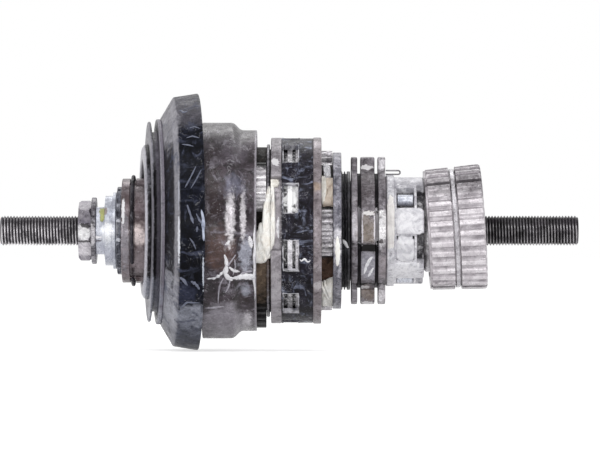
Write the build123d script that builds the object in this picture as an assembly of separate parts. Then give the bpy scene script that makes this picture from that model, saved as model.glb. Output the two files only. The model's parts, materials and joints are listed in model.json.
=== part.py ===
from build123d import *
import os
from math import acos, cos, degrees, radians, sin, sqrt, tan

# The inside of a bicycle's internal gear hub with a coaster brake, out of its shell.
# Millimetres. +X runs along the axle from the drive side to the brake side, +Z is up, and
# the viewer stands on the -Y side. The origin is on the axle's centre line, at the outer
# face of the drive side locknut, where a frame's dropout bears.
# Angles about the axle are counted from the viewer's side (-Y) upwards.

# Clearances
run_gap = 0.15          # between faces that turn past each other
fit_gap = 0.05          # radial clearance of a running bore
rest_gap = 0.3          # between a loose piece and what it rests on

# Axle
axle_r = 4.7625         # 3/8 inch thread, over its crests
axle_drive_end = 25.0   # length outside the drive side locknut
axle_brake_end = 159.0  # station of the brake side end
axle_bevel = 0.7
journal_r = 6.0         # plain middle of the axle
flat_depth = 0.3        # anti-rotation flats near the brake side end
flat_angle = 32.0
flat_length = 23.9
axle_seat = 6.0         # where a dropout bears, next to the locknut and to the brake cone
relief_width = 0.8      # thread reliefs at both ends of each seat
relief_depth = 0.5

# Drive side locknut, washer and cone
locknut_width = 4.1
locknut_flats = 17.0
locknut_corner_r = 9.7
locknut_turn_deg = -17.8  # where one corner points
locknut_bevel = 0.7
washer_thick = 1.5
washer_r = 10.6
washer_tooth_depth = 0.5
washer_teeth = 20
cone_nose_width = 2.8
cone_nose_r = 9.8
cone_step_width = 2.5
cone_step_r = 11.1
cone_flat_width = 15.0  # across the cone's spanner flats
cone_flange_width = 1.2
cone_flange_r = 12.2
cone_race_r = 8.25
cone_race_width = 5.9
cone_tail_r = 6.6
cone_bevel = 0.4

# Small drive side balls
drive_ball_r = 1.98
drive_ball_count = 12

# Ball retainers
retainer_height = 0.9   # in ball radii
retainer_hold = 0.3     # from the balls' centres to the retainer, in ball radii
retainer_back = 0.4     # solid back in millimetres

# Driver, which carries the sprocket
cap_width = 1.6
cap_r = 14.0
cap_wall = 0.9
driver_lip_width = 2.6
driver_lip_r = 16.6
ring_groove_width = 1.8
ring_groove_depth = 0.8
seat_r = 16.7           # sprocket seat
slot_width_deg = 26.0   # three slots for the sprocket's tabs
slot_depth = 1.3
slot_length = 5.6
slot_first_deg = 60.0
slot_count = 3
driver_length = 24.75   # to the flange that carries the pawls
driver_body_r = 16.0
driver_flange_width = 3.6
driver_flange_r = 18.9
driver_bore_r = 7.2
driver_bush_length = 8.0

# Sprocket snap ring
snap_r = 18.1
snap_width = 1.2
snap_gap_from_deg = -54.0
snap_gap_to_deg = -38.0
snap_hook_deg = 5.0
snap_hook_reach = 0.9

# Large balls between the driver and the cup
cup_ball_r = 2.38
cup_ball_count = 18
cup_ball_reach = 15.15  # from the driver's lip to the balls' centres

# Ball cup unit, which lies loose: lifted, and turned about the vertical
cup_lift = 2.8
cup_tilt_deg = 4.5
dust_cap_reach = 9.0    # in front of the cup's middle
dust_cap_width = 2.6
dust_cap_r = 24.6
seal_reach = 7.1        # in front of the cup's middle
seal_lip_width = 0.7
seal_lip_r = 31.9
seal_groove_width = 1.9
seal_groove_r = 28.6
seal_back_width = 1.3
seal_back_r = 32.7
cup_cone_width = 4.1    # sloping front of the cup
cup_cone_r = 39.6
cup_rim_width = 7.9
cup_rim_r = 41.0
cup_web = 2.7           # thickness behind the slope
cup_bevel = 0.35

# Housing of the low gear's ring
housing_inset = 0.8     # behind the front of the driver's flange
housing_r = 34.4
housing_wall = 1.8
housing_shoulder = 8.9  # length at full radius
housing_curve = 4.3     # length of the curved shoulder
housing_end_r = 32.0
housing_width = 17.3
ring_low_teeth_width = 6.9
ratchet_teeth = 12
ratchet_depth = 1.7
ratchet_gap = 0.2       # round the driver's flange
ratchet_steps = (0.0, 0.25, 0.3, 0.85)  # where a tooth's land, drop and floor begin and end
pawl_width_deg = 13.0
pawl_first_deg = 17.25
pawl_count = 2
pawl_root_r = 17.2
pawl_cover = 0.3        # the pawls' free height under the ratchet's floor

# Low gear: stepped planets between a sun and the housing's ring
low_module = 0.75
low_sun_teeth = 43
low_step_teeth = 14
low_planet_teeth = 24
low_planets = 3
low_first_deg = 34.0
low_pin_r = 2.0
low_sun_width = 5.5
low_planet_width = 9.7

# High gear: planets between a sun and the drum's ring
high_module = 0.8
high_sun_teeth = 26
high_planet_teeth = 18
high_planets = 4
high_first_deg = -1.5
high_pin_r = 1.75
high_planet_width = 10.8
ring_high_teeth_width = 6.4

# Teeth of every gear
pressure_deg = 20.0
addendum = 0.8          # in modules
dedendum = 1.0
backlash = 0.045        # taken off each flank
flank_points = 4

# Planet carrier
carrier_gap = 0.4       # from the driver's end to the carrier
carrier_plate_thick = 1.8
carrier_r = 26.6
pocket_gap = 0.5        # round each planet
middle_plate_thick = 0.9
middle_plate_r = 27.5
hub_disc_width = 8.1
hub_disc_r = 26.0
carrier_bore_r = 9.0
bush_r = 8.0
rear_floor = 0.8
rear_body_r = 22.0
end_flange_width = 2.7
end_flange_r = 24.9
neck_width = 2.8
neck_r = 18.9
neck_grooves = (0.4, 1.3)
neck_groove_width = 0.5
neck_groove_depth = 0.8
sleeve_r = 15.9
sleeve_width = 10.9
cam_r = 12.9
cam_width = 10.1

# Clutch drum with the high gear's ring
drum_gap = 0.4          # behind the carrier's middle plate
drum_r = 29.6
drum_core_r = 27.95
drum_bore_r = 26.2
front_ring_width = 3.4
front_notch_from_deg = -12.0
front_notch_to_deg = 35.0
cage_width = 9.9
end_ring_width = 2.7
end_ring_r = 29.7
drum_bevel = 0.25
window_count = 10
window_first_deg = 20.5
window_half_deg = 9.5
window_from = 0.6
window_width = 4.6
race_grooves = ((0.4, 1.5), (3.4, 1.0))
race_groove_depth = 0.8

# Lugged rings of the shell drive
lug_gap = 0.3           # behind the carrier's neck
lug_base_r = 19.6
lug_r = 23.5
lug_count = 4
lug_first_deg = 3.4
lug_half_deg = 13.6
front_plate_width = 2.0
cam_ring_width = 4.5
rear_plate_width = 2.4
lug_spacer_width = 1.0
lug_spacer_r = 18.2
lug_bevel = 0.3

# Brake roller cage
roller_cage_gap = 0.2   # behind the last lugged ring
roller_flange_width = 2.5
roller_flange_r = 17.7
roller_body_width = 7.2
roller_body_r = 16.6
roller_bore_r = 13.2
roller_bar_r = 17.4
roller_bar_reach = 2.2
roller_bar_half_deg = 13.0
roller_count = 6
roller_first_deg = 40.0
pocket_half_deg = 14.0
pocket_from = 0.8
pocket_width = 5.4
brake_roller_r = 1.75
brake_roller_length = 5.0
brake_turn_deg = 12.0

# Friction spring's hairpin tail
tail_wire_r = 0.25
tail_rise = 1.2
tail_length = 4.6

# Brake cone inside the shoes
brake_cone_gap = 0.7    # behind the carrier's cam
brake_cone_width = 19.6
brake_cone_r = 13.2
brake_cone_nose_r = 10.6
brake_cone_nose = 2.6
brake_cone_bevel = 1.0

# Brake shoes, which lie loose: lifted a little, and leaning
shoe_gap = 1.15         # behind the roller cage's bars
shoe_lift = 0.8
shoe_tilt_deg = 3.7
shoe_width = 18.1
shoe_front_r = 19.15
shoe_back_r = 20.0
shoe_bore_r = 15.0
shoe_lip = 0.65
shoe_lip_drop = 0.35
shoe_bevel = 0.8
shoe_count = 3
shoe_seam_deg = 48.0
shoe_seam_gap = 0.7
shoe_groove_from = 7.9
shoe_groove_width = 2.0
shoe_groove_depth = 1.7
shoe_spring_width = 1.3
shoe_spring_thick = 0.8
shoe_travel = 0.25
rib_pitch_deg = 10.0
rib_grooves = 10
rib_groove_width = 1.3
rib_groove_depth = 0.5
rib_offset_deg = -3.0

# Stations that follow from the sizes above
cone_from = locknut_width + washer_thick
cone_step_from = cone_from + cone_nose_width
cone_flange_from = cone_step_from + cone_step_width
cone_flange_end = cone_flange_from + cone_flange_width
cap_from = cone_flange_end + run_gap
driver_from = cap_from + cap_width
cone_end = cone_flange_end + cone_race_width
drive_ball_station = cap_from + cap_wall + fit_gap + drive_ball_r
drive_ball_orbit = cone_race_r + fit_gap + drive_ball_r
drive_race_r = drive_ball_orbit + drive_ball_r + fit_gap
drive_race_end = cone_end + run_gap
ring_groove_from = driver_from + driver_lip_width
seat_from = ring_groove_from + ring_groove_width
driver_body_end = driver_from + driver_length
driver_end = driver_body_end + driver_flange_width
cup_ball_station = driver_from + cup_ball_reach
cup_ball_orbit = seat_r + fit_gap + cup_ball_r

cup_middle = cup_ball_station
dust_cap_from = cup_middle - dust_cap_reach
seal_from = cup_middle - seal_reach
seal_groove_from = seal_from + seal_lip_width
seal_back_from = seal_groove_from + seal_groove_width
cup_from = seal_back_from + seal_back_width
cup_rim_from = cup_from + cup_cone_width
cup_end = cup_rim_from + cup_rim_width
housing_from = driver_body_end + housing_inset
housing_end = housing_from + housing_width
tilt = radians(cup_tilt_deg)


def cup_clear_r(r, x0, x1):
    """The smallest bore about the cup's own axis round a piece of radius r from x0 to x1."""
    sideways = max(abs(x0 - cup_middle), abs(x1 - cup_middle)) * tan(tilt)
    return (r + sqrt(cup_lift**2 + sideways**2)) / cos(tilt) + rest_gap


balls_from, balls_end = cup_ball_station - cup_ball_r, cup_ball_station + cup_ball_r
cup_race_r = cup_clear_r(cup_ball_orbit + cup_ball_r, balls_from, balls_end)
cup_cavity_r = cup_clear_r(housing_r, housing_from, cup_end)
dust_cap_bore_r = cup_clear_r(seat_r, dust_cap_from, dust_cap_from + dust_cap_width)

ratchet_tip_r = driver_flange_r + ratchet_gap
ratchet_root_r = ratchet_tip_r + ratchet_depth

carrier_from = driver_end + carrier_gap
low_from = carrier_from + carrier_plate_thick + run_gap
low_step_end = low_from + low_sun_width
low_end = low_step_end + low_planet_width
middle_plate_from = low_end + run_gap
hub_disc_from = middle_plate_from + middle_plate_thick
rear_body_from = hub_disc_from + hub_disc_width
high_from = rear_body_from + rear_floor + run_gap
high_end = high_from + high_planet_width
end_flange_from = high_end + run_gap
neck_from = end_flange_from + end_flange_width
sleeve_from = neck_from + neck_width
cam_from = sleeve_from + sleeve_width
cam_end = cam_from + cam_width

low_orbit = low_module * (low_sun_teeth + low_step_teeth) / 2
low_ring_teeth = low_sun_teeth + low_step_teeth + low_planet_teeth
high_orbit = high_module * (high_sun_teeth + high_planet_teeth) / 2
high_ring_teeth = high_sun_teeth + 2 * high_planet_teeth

drum_from = hub_disc_from + drum_gap
cage_from = drum_from + front_ring_width
end_ring_from = cage_from + cage_width
drum_end = end_ring_from + end_ring_width

lug_from = sleeve_from + lug_gap
cam_ring_from = lug_from + front_plate_width + lug_spacer_width
rear_plate_from = cam_ring_from + cam_ring_width + lug_spacer_width
roller_cage_from = rear_plate_from + rear_plate_width + roller_cage_gap
roller_body_from = roller_cage_from + roller_flange_width
roller_body_end = roller_body_from + roller_body_width
roller_orbit = roller_bore_r + fit_gap + brake_roller_r
brake_cone_from = cam_end + brake_cone_gap
shoe_from = roller_body_end + roller_bar_reach + shoe_gap
shoe_middle = shoe_from + shoe_width / 2


# Cross-sections and turned shapes
def station(x):
    """The cross-section plane at x: its first axis points to the viewer, its second axis up."""
    return Plane(origin=(x, 0, 0), x_dir=(0, -1, 0), z_dir=(-1, 0, 0))


def slab(outline, x0, x1):
    """An outline in the cross-section, carried along the axle from x0 to x1."""
    return extrude(station(x1) * outline, amount=x1 - x0)


def spot(r, angle):
    """A point of the cross-section at radius r and an angle in degrees."""
    return (r * cos(radians(angle)), r * sin(radians(angle)))


def on_axis(x, r, angle):
    """A place in space at station x, radius r and an angle in degrees."""
    across, up = spot(r, angle)
    return Pos(x, -across, up)


def outline(points):
    return make_face(Polyline(points, close=True))


def turned(points):
    """A solid of revolution about the axle, from (station, radius) points."""
    return revolve(outline(points), Axis.X)


def ring(x0, x1, r_out, r_in=0.0, bevel=0.0):
    """A turned disc or ring with bevelled outer edges."""
    rim = [(x0, r_out - bevel), (x0 + bevel, r_out), (x1 - bevel, r_out), (x1, r_out - bevel)]
    if not bevel:
        rim = [(x0, r_out), (x1, r_out)]
    return turned([(x0, r_in), *rim, (x1, r_in)])


def evenly(count, first):
    """Angles in degrees of copies spread evenly round the axle."""
    return [first + 360 * i / count for i in range(count)]


def sector(r_in, r_out, a0, a1):
    """A stretch of a ring's cross-section between two angles less than 150 degrees apart."""
    far = 2 * r_out
    wedge = outline([(0, 0), spot(far, a0), spot(far, (a0 + a1) / 2), spot(far, a1)])
    return (Circle(r_out) - Circle(r_in)) & wedge


def sectors(r_in, r_out, angles, half):
    """A row of such stretches, one centred on each angle."""
    return Sketch() + [sector(r_in, r_out, a - half, a + half) for a in angles]


def balls(x, orbit, r, count):
    return [on_axis(x, orbit, a) * Sphere(r) for a in evenly(count, 0)]


# Gear teeth
def involute(r, base):
    """How far an involute has turned from its base circle to radius r, in degrees."""
    angle = acos(min(1.0, base / r))
    return degrees(tan(angle) - angle)


def gear_outline(teeth, module, tooth_at, low, high, thinner):
    """A toothed outline between radii low and high with one tooth centred at an angle, its flanks
    involutes in a few straight runs. A ring's opening is the same shape with thinner negative."""
    pitch = module * teeth / 2
    base = pitch * cos(radians(pressure_deg))
    half_at_pitch = 90 / teeth - degrees(thinner / pitch)
    radii = [low + (high - low) * i / (flank_points - 1) for i in range(flank_points)]
    halves = [half_at_pitch + involute(pitch, base) - involute(r, base) for r in radii]
    rising = [(r, -h) for r, h in zip(radii, halves)]
    falling = [(r, h) for r, h in zip(reversed(radii), reversed(halves))]
    tooth = rising + falling
    return outline([spot(r, c + turn) for c in evenly(teeth, tooth_at) for r, turn in tooth])


def gear(teeth, module, tooth_at):
    pitch = module * teeth / 2
    low = pitch - dedendum * module
    return gear_outline(teeth, module, tooth_at, low, pitch + addendum * module, backlash)


def ring_opening(teeth, module, tooth_at):
    pitch = module * teeth / 2
    space_at = tooth_at + 180 / teeth
    low = pitch - addendum * module
    return gear_outline(teeth, module, space_at, low, pitch + dedendum * module, -backlash)


def gear_tip(teeth, module):
    return module * (teeth / 2 + addendum)


def beside_sun(sun_teeth, teeth, angle):
    """The tooth angle of a planet at this place that meshes with a sun whose tooth is at 0."""
    return angle + 180 - (0.5 - sun_teeth * angle / 360) * 360 / teeth


def inside_ring(ring_teeth, teeth, angle, ring_tooth_at):
    """The tooth angle of a planet at this place that meshes with its ring."""
    return angle - (ring_teeth * (angle - ring_tooth_at) / 360 - 0.5) * 360 / teeth


def ring_round(ring_teeth, teeth, angle, tooth_at):
    """The tooth angle of a ring that meshes with a planet at this place."""
    return angle - (0.5 + teeth * (angle - tooth_at) / 360) * 360 / ring_teeth


# Axle and what is fixed to it
def axle_relief(x0):
    floor = axle_r - relief_depth
    return [(x0, axle_r), (x0, floor), (x0 + relief_width, floor), (x0 + relief_width, axle_r)]


def axle():
    """Plain seats for the dropouts, with a relief on both sides of each, and a thicker middle."""
    journal_from, journal_end = cone_end + run_gap, brake_cone_from - run_gap
    start, end = -axle_drive_end, axle_brake_end
    brake_face = brake_cone_from + brake_cone_width
    rod = turned([
        (start, 0), (start, axle_r - axle_bevel), (start + axle_bevel, axle_r),
        *axle_relief(-axle_seat - relief_width), *axle_relief(0),
        (journal_from, axle_r), (journal_from, journal_r), (journal_end, journal_r), (journal_end, axle_r),
        *axle_relief(brake_face - relief_width), *axle_relief(brake_face + axle_seat),
        (end - axle_bevel, axle_r), (end, axle_r - axle_bevel), (end, 0),
    ])
    beyond = Rectangle(axle_r, 3 * axle_r)
    reach = axle_r * 1.5 - flat_depth
    flats = Sketch() + [Rot(0, 0, a) * Pos(reach, 0) * beyond for a in (flat_angle, flat_angle + 180)]
    return rod - slab(flats, end - flat_length, end)


def drive_locknut():
    hexagon = RegularPolygon(locknut_flats / 2, 6, major_radius=False)
    nut = slab(Rot(0, 0, locknut_turn_deg) * hexagon, 0, locknut_width)
    nut &= ring(0, locknut_width, locknut_corner_r, 0, locknut_bevel)
    return nut - ring(0, locknut_width, axle_r)


def lock_washer():
    rim = Circle(washer_r) - Circle(axle_r)
    notch_half = 90 / washer_teeth
    notches = sectors(washer_r - washer_tooth_depth, washer_r + 1, evenly(washer_teeth, 0), notch_half / 2)
    return slab(rim - notches, locknut_width, cone_from)


def drive_cone():
    cone = turned([
        (cone_from, axle_r), (cone_from, cone_nose_r - cone_bevel),
        (cone_from + cone_bevel, cone_nose_r), (cone_step_from, cone_nose_r),
        (cone_step_from, cone_step_r), (cone_flange_from, cone_step_r),
        (cone_flange_from, cone_flange_r), (cone_flange_end, cone_flange_r),
        (cone_flange_end, cone_race_r), (cone_end - cone_race_r + cone_tail_r, cone_race_r),
        (cone_end, cone_tail_r), (cone_end, axle_r),
    ])
    beyond = Rectangle(cone_nose_r, 3 * cone_nose_r)
    reach = cone_flat_width / 2 + cone_nose_r / 2
    spanner = Sketch() + [Rot(0, 0, a) * Pos(reach, 0) * beyond for a in (90, -90)]
    return cone - slab(spanner, cone_from, cone_step_from)


def driver_bush():
    return ring(driver_end - driver_bush_length, driver_end, driver_bore_r - fit_gap, journal_r)


def carrier_bushes():
    """One bush in the carrier's first plate and one in its long sleeve."""
    first = ring(carrier_from, carrier_from + carrier_plate_thick, bush_r, journal_r)
    return [first, ring(end_flange_from, cam_end, bush_r, journal_r)]


def low_sun():
    teeth = gear(low_sun_teeth, low_module, 0) - Circle(journal_r)
    return slab(teeth, low_from, low_step_end)


def high_sun():
    teeth = gear(high_sun_teeth, high_module, 0) - Circle(journal_r)
    return slab(teeth, high_from, high_end)


# Driver
def cone_dust_cap():
    return turned([
        (cap_from, cone_race_r + rest_gap), (cap_from, cap_r), (driver_from, cap_r),
        (driver_from, drive_race_r), (cap_from + cap_wall, drive_race_r),
        (cap_from + cap_wall, cone_race_r + rest_gap),
    ])


def retainer(x, orbit, ball_r, count):
    """A ring beside the balls, hollowed where each ball sits in it."""
    half = ball_r * retainer_height / 2
    pocket_r = ball_r + fit_gap
    band = ring(x + ball_r * retainer_hold, x + ball_r + retainer_back, orbit + half, orbit - half)
    return band - balls(x, orbit, pocket_r, count)


def ratchet_outline():
    """The housing's ratchet: teeth that rise slowly and drop steeply."""
    radii = (ratchet_tip_r, ratchet_tip_r, ratchet_root_r, ratchet_root_r)
    tooth = [(r, part * 360 / ratchet_teeth) for r, part in zip(radii, ratchet_steps)]
    return outline([spot(r, a + turn) for a in evenly(ratchet_teeth, 0) for r, turn in tooth])


def pawl_angles():
    return evenly(pawl_count, pawl_first_deg)


def driver():
    floor_r = seat_r - ring_groove_depth
    body = turned([
        (driver_from, drive_race_r), (driver_from, driver_lip_r), (ring_groove_from, driver_lip_r),
        (ring_groove_from, floor_r), (seat_from, floor_r), (seat_from, seat_r),
        (balls_end, seat_r), (balls_end, driver_body_r),
        (driver_body_end, driver_body_r), (driver_body_end, driver_flange_r),
        (driver_end, driver_flange_r), (driver_end, driver_bore_r),
        (drive_race_end, driver_bore_r), (drive_race_end, drive_race_r),
    ])
    slots = sectors(seat_r - slot_depth, seat_r + 1, evenly(slot_count, slot_first_deg), slot_width_deg / 2)
    seats = sectors(pawl_root_r, driver_flange_r + 1, pawl_angles(), pawl_width_deg / 2)
    body -= slab(slots, ring_groove_from, ring_groove_from + slot_length)
    return body - slab(seats, driver_body_end, driver_end)


def driver_pawls():
    tops = sectors(pawl_root_r, ratchet_root_r - pawl_cover, pawl_angles(), pawl_width_deg / 2)
    return slab(tops, housing_from, housing_from + housing_wall).solids()


def sprocket_snap_ring():
    """A sprung ring in the driver's groove, open at the lower front, with one end bent outwards."""
    inner = seat_r - ring_groove_depth + fit_gap
    start = ring_groove_from + (ring_groove_width - snap_width) / 2
    gap = sector(inner - 1, snap_r + 2, snap_gap_from_deg, snap_gap_to_deg)
    hook = sector(inner, snap_r + snap_hook_reach, snap_gap_from_deg - snap_hook_deg, snap_gap_from_deg)
    return slab((Circle(snap_r) - Circle(inner) - gap) + hook, start, start + snap_width)


# Loose ball cup
def cup_place(piece):
    """Carries a piece that was turned about the axle to the cup's lifted and tilted axis."""
    return Pos(cup_middle, 0, cup_lift) * Rot(0, 0, cup_tilt_deg) * Pos(-cup_middle, 0, 0) * piece


def cup_dust_cap():
    end = dust_cap_from + dust_cap_width
    return cup_place(ring(dust_cap_from, end, dust_cap_r, dust_cap_bore_r, cup_bevel))


def cup_seal():
    seal = turned([
        (seal_from, dust_cap_r), (seal_from, seal_lip_r), (seal_groove_from, seal_lip_r),
        (seal_groove_from, seal_groove_r), (seal_back_from, seal_groove_r),
        (seal_back_from, seal_back_r), (cup_from, seal_back_r), (cup_from, dust_cap_r),
    ])
    return cup_place(seal)


def ball_cup():
    cup = turned([
        (cup_from, cup_race_r), (cup_from, seal_back_r), (cup_rim_from, cup_cone_r),
        (cup_end - cup_bevel, cup_rim_r), (cup_end, cup_rim_r - cup_bevel),
        (cup_end, cup_cavity_r), (cup_rim_from + cup_web, cup_cavity_r),
        (cup_rim_from + cup_web, cup_race_r),
    ])
    return cup_place(cup)


# Low gear
def low_ring_tooth():
    """The ring's tooth angle that leaves the first planet's large step with a tooth at 0."""
    return ring_round(low_ring_teeth, low_planet_teeth, low_first_deg, 0)


def ring_gear_housing():
    """A turned bell with a curved shoulder, a ratchet in its front wall and teeth at its open end."""
    bend_from = housing_from + housing_shoulder
    bend_end = bend_from + housing_curve
    teeth_from = housing_end - ring_low_teeth_width
    tip = low_module * (low_ring_teeth / 2 - addendum)
    before = Polyline([(teeth_from, tip), (teeth_from, housing_r - housing_wall),
                       (housing_from + housing_wall, housing_r - housing_wall),
                       (housing_from + housing_wall, ratchet_tip_r), (housing_from, ratchet_tip_r),
                       (housing_from, housing_r), (bend_from, housing_r)])
    bend_half = (bend_from + bend_end) / 2
    bend = Bezier((bend_from, housing_r), (bend_half, housing_r), (bend_half, housing_end_r), (bend_end, housing_end_r))
    after = Polyline([(bend_end, housing_end_r), (housing_end, housing_end_r), (housing_end, tip), (teeth_from, tip)])
    bell = revolve(make_face(before + bend + after), Axis.X)
    opening = ring_opening(low_ring_teeth, low_module, low_ring_tooth())
    bell -= slab(opening, teeth_from, housing_end)
    return bell - slab(ratchet_outline(), housing_from, housing_from + housing_wall)


def low_planet(angle):
    """A stepped planet: its small step turns on the sun, its large step in the ring."""
    centre = Pos(*spot(low_orbit, angle))
    small_at = beside_sun(low_sun_teeth, low_step_teeth, angle)
    large_at = inside_ring(low_ring_teeth, low_planet_teeth, angle, low_ring_tooth())
    bore = Circle(low_pin_r + fit_gap)
    small = slab(centre * (gear(low_step_teeth, low_module, small_at) - bore), low_from, low_step_end)
    return small + slab(centre * (gear(low_planet_teeth, low_module, large_at) - bore), low_step_end, low_end)


# High gear
def high_planet(angle):
    centre = Pos(*spot(high_orbit, angle))
    tooth_at = beside_sun(high_sun_teeth, high_planet_teeth, angle)
    teeth = gear(high_planet_teeth, high_module, tooth_at) - Circle(high_pin_r + fit_gap)
    return slab(centre * teeth, high_from, high_end)


def planet_circles(r, orbit, count, first):
    return Sketch() + [Pos(*spot(orbit, a)) * Circle(r) for a in evenly(count, first)]


# Planet carrier
def low_pin_holes():
    return planet_circles(low_pin_r, low_orbit, low_planets, low_first_deg)


def high_pin_holes():
    return planet_circles(high_pin_r, high_orbit, high_planets, high_first_deg)


def carrier_front_plate():
    face = Circle(carrier_r) - Circle(bush_r + fit_gap) - low_pin_holes()
    return slab(face, carrier_from, carrier_from + carrier_plate_thick)


def carrier_front_body():
    """A thick disc with a round pocket for each planet and a wide bore over the sun."""
    pocket_r = gear_tip(low_planet_teeth, low_module) + pocket_gap
    pockets = planet_circles(pocket_r, low_orbit, low_planets, low_first_deg)
    start = carrier_from + carrier_plate_thick
    sun_r = gear_tip(low_sun_teeth, low_module) + pocket_gap
    body = slab(Circle(carrier_r) - Circle(carrier_bore_r) - pockets, start, middle_plate_from)
    return body - ring(start, low_step_end + run_gap, sun_r)


def carrier_middle_plate():
    face = Circle(middle_plate_r) - Circle(carrier_bore_r) - low_pin_holes()
    return slab(face, middle_plate_from, hub_disc_from)


def carrier_hub_disc():
    return ring(hub_disc_from, rear_body_from, hub_disc_r, carrier_bore_r)


def carrier_rear_body():
    """A floor that holds the pins, with posts between the planets' pockets."""
    pocket_r = gear_tip(high_planet_teeth, high_module) + pocket_gap
    pockets = planet_circles(pocket_r, high_orbit, high_planets, high_first_deg)
    floor_end = rear_body_from + rear_floor
    sun_r = gear_tip(high_sun_teeth, high_module) + pocket_gap
    floor = slab(Circle(rear_body_r) - Circle(carrier_bore_r) - high_pin_holes(), rear_body_from, floor_end)
    return floor + slab(Circle(rear_body_r) - Circle(sun_r) - pockets, floor_end, end_flange_from)


def carrier_end_flange():
    """The last plate with a grooved neck, the sleeve under the lugged rings and the brake's cam."""
    grooves = []
    for start in neck_grooves:
        x = neck_from + start
        floor = neck_r - neck_groove_depth
        grooves += [(x, neck_r), (x, floor), (x + neck_groove_width, floor), (x + neck_groove_width, neck_r)]
    body = turned([
        (end_flange_from, bush_r + fit_gap), (end_flange_from, end_flange_r),
        (neck_from, end_flange_r), (neck_from, neck_r), *grooves,
        (sleeve_from, neck_r), (sleeve_from, sleeve_r), (cam_from, sleeve_r),
        (cam_from, cam_r), (cam_end, cam_r), (cam_end, bush_r + fit_gap),
    ])
    return body - slab(high_pin_holes(), end_flange_from, neck_from)


def low_pins():
    return slab(low_pin_holes(), carrier_from, hub_disc_from).solids()


def high_pins():
    return slab(high_pin_holes(), rear_body_from, neck_from).solids()


# Clutch drum
def clutch_ring_gear():
    """The drum's core: a grooved race outside, teeth of the high gear's ring inside."""
    teeth_from = drum_end - ring_high_teeth_width
    tip = high_module * (high_ring_teeth / 2 - addendum)
    race = []
    for start, width in race_grooves:
        x = cage_from + start
        floor = drum_core_r - race_groove_depth
        race += [(x, drum_core_r), (x, floor), (x + width, floor), (x + width, drum_core_r)]
    core = turned([
        (drum_from, drum_bore_r), (drum_from, drum_core_r), *race, (drum_end, drum_core_r),
        (drum_end, tip), (teeth_from, tip), (teeth_from, drum_bore_r),
    ])
    first_at = beside_sun(high_sun_teeth, high_planet_teeth, high_first_deg)
    tooth_at = ring_round(high_ring_teeth, high_planet_teeth, high_first_deg, first_at)
    return core - slab(ring_opening(high_ring_teeth, high_module, tooth_at), teeth_from, drum_end)


def drum_front_ring():
    notch = sector(drum_core_r, drum_r + 1, front_notch_from_deg, front_notch_to_deg)
    return ring(drum_from, cage_from, drum_r, drum_core_r, drum_bevel) - slab(notch, drum_from, cage_from)


def clutch_cage():
    windows = sectors(drum_core_r - 1, drum_r + 1, evenly(window_count, window_first_deg), window_half_deg)
    start = cage_from + window_from
    return ring(cage_from, end_ring_from, drum_r, drum_core_r) - slab(windows, start, start + window_width)


def drum_end_ring():
    return ring(end_ring_from, drum_end, end_ring_r, drum_core_r, drum_bevel)


# Shell drive
def lugged_ring(x0, width):
    lugs = sectors(lug_base_r - 1, lug_r, evenly(lug_count, lug_first_deg), lug_half_deg)
    face = Circle(lug_base_r) + lugs - Circle(sleeve_r + fit_gap)
    return slab(face, x0, x0 + width) & ring(x0, x0 + width, lug_r, 0, lug_bevel)


def lug_spacers():
    stations = (cam_ring_from - lug_spacer_width, rear_plate_from - lug_spacer_width)
    return [ring(x, x + lug_spacer_width, lug_spacer_r, sleeve_r + fit_gap) for x in stations]


# Coaster brake
def brake_roller_cage():
    flange = ring(roller_cage_from, roller_body_from, roller_flange_r, roller_bore_r, lug_bevel)
    bar_angles = evenly(roller_count, roller_first_deg + 180 / roller_count)
    bars = sectors(roller_bore_r, roller_bar_r, bar_angles, roller_bar_half_deg)
    band = Circle(roller_body_r) + sectors(roller_bore_r + 1, roller_bar_r, bar_angles, roller_bar_half_deg)
    band -= Circle(roller_bore_r)
    pockets = sectors(roller_bore_r - 1, roller_body_r + 1, evenly(roller_count, roller_first_deg), pocket_half_deg)
    start = roller_body_from + pocket_from
    cage = flange + slab(band, roller_body_from, roller_body_end)
    cage += slab(bars, roller_body_end, roller_body_end + roller_bar_reach)
    return cage - slab(pockets, start, start + pocket_width)


def brake_rollers():
    start = roller_body_from + pocket_from + (pocket_width - brake_roller_length) / 2
    circles = planet_circles(brake_roller_r, roller_orbit, roller_count, roller_first_deg)
    return slab(circles, start, start + brake_roller_length).solids()


def friction_spring():
    """The hairpin tail of the brake's friction spring, lying on the roller cage's flange."""
    low = roller_flange_r + tail_wire_r
    high = low + tail_rise
    start = roller_cage_from
    bend_x = start + tail_length - tail_rise / 2
    path = (Line((start, 0, low), (bend_x, 0, low))
            + ThreePointArc((bend_x, 0, low), (bend_x + tail_rise / 2, 0, (low + high) / 2), (bend_x, 0, high))
            + Line((bend_x, 0, high), (start, 0, high)))
    section = Plane(origin=(start, 0, low), z_dir=(1, 0, 0)) * Circle(tail_wire_r)
    return sweep(section, path)


def brake_cone():
    end = brake_cone_from + brake_cone_width
    return turned([
        (brake_cone_from, axle_r), (brake_cone_from, brake_cone_nose_r),
        (brake_cone_from + brake_cone_nose, brake_cone_r), (end - brake_cone_bevel, brake_cone_r),
        (end, brake_cone_r - brake_cone_bevel), (end, axle_r),
    ])


def shoe_place(piece):
    """Carries a piece that was turned about the axle to the brake shoes' lifted and leaning axis."""
    return Pos(shoe_middle, 0, shoe_lift) * Rot(0, -shoe_tilt_deg, 0) * Pos(-shoe_middle, 0, 0) * piece


def shoe_r(x):
    """The shoes' outer radius, which grows evenly towards the brake side."""
    return shoe_front_r + (shoe_back_r - shoe_front_r) * (x - shoe_from) / shoe_width


def shoe_groove_floor():
    return shoe_r(shoe_from + shoe_groove_from) - shoe_groove_depth


def shoe_centres():
    return evenly(shoe_count, shoe_seam_deg - 180 / shoe_count)


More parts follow.
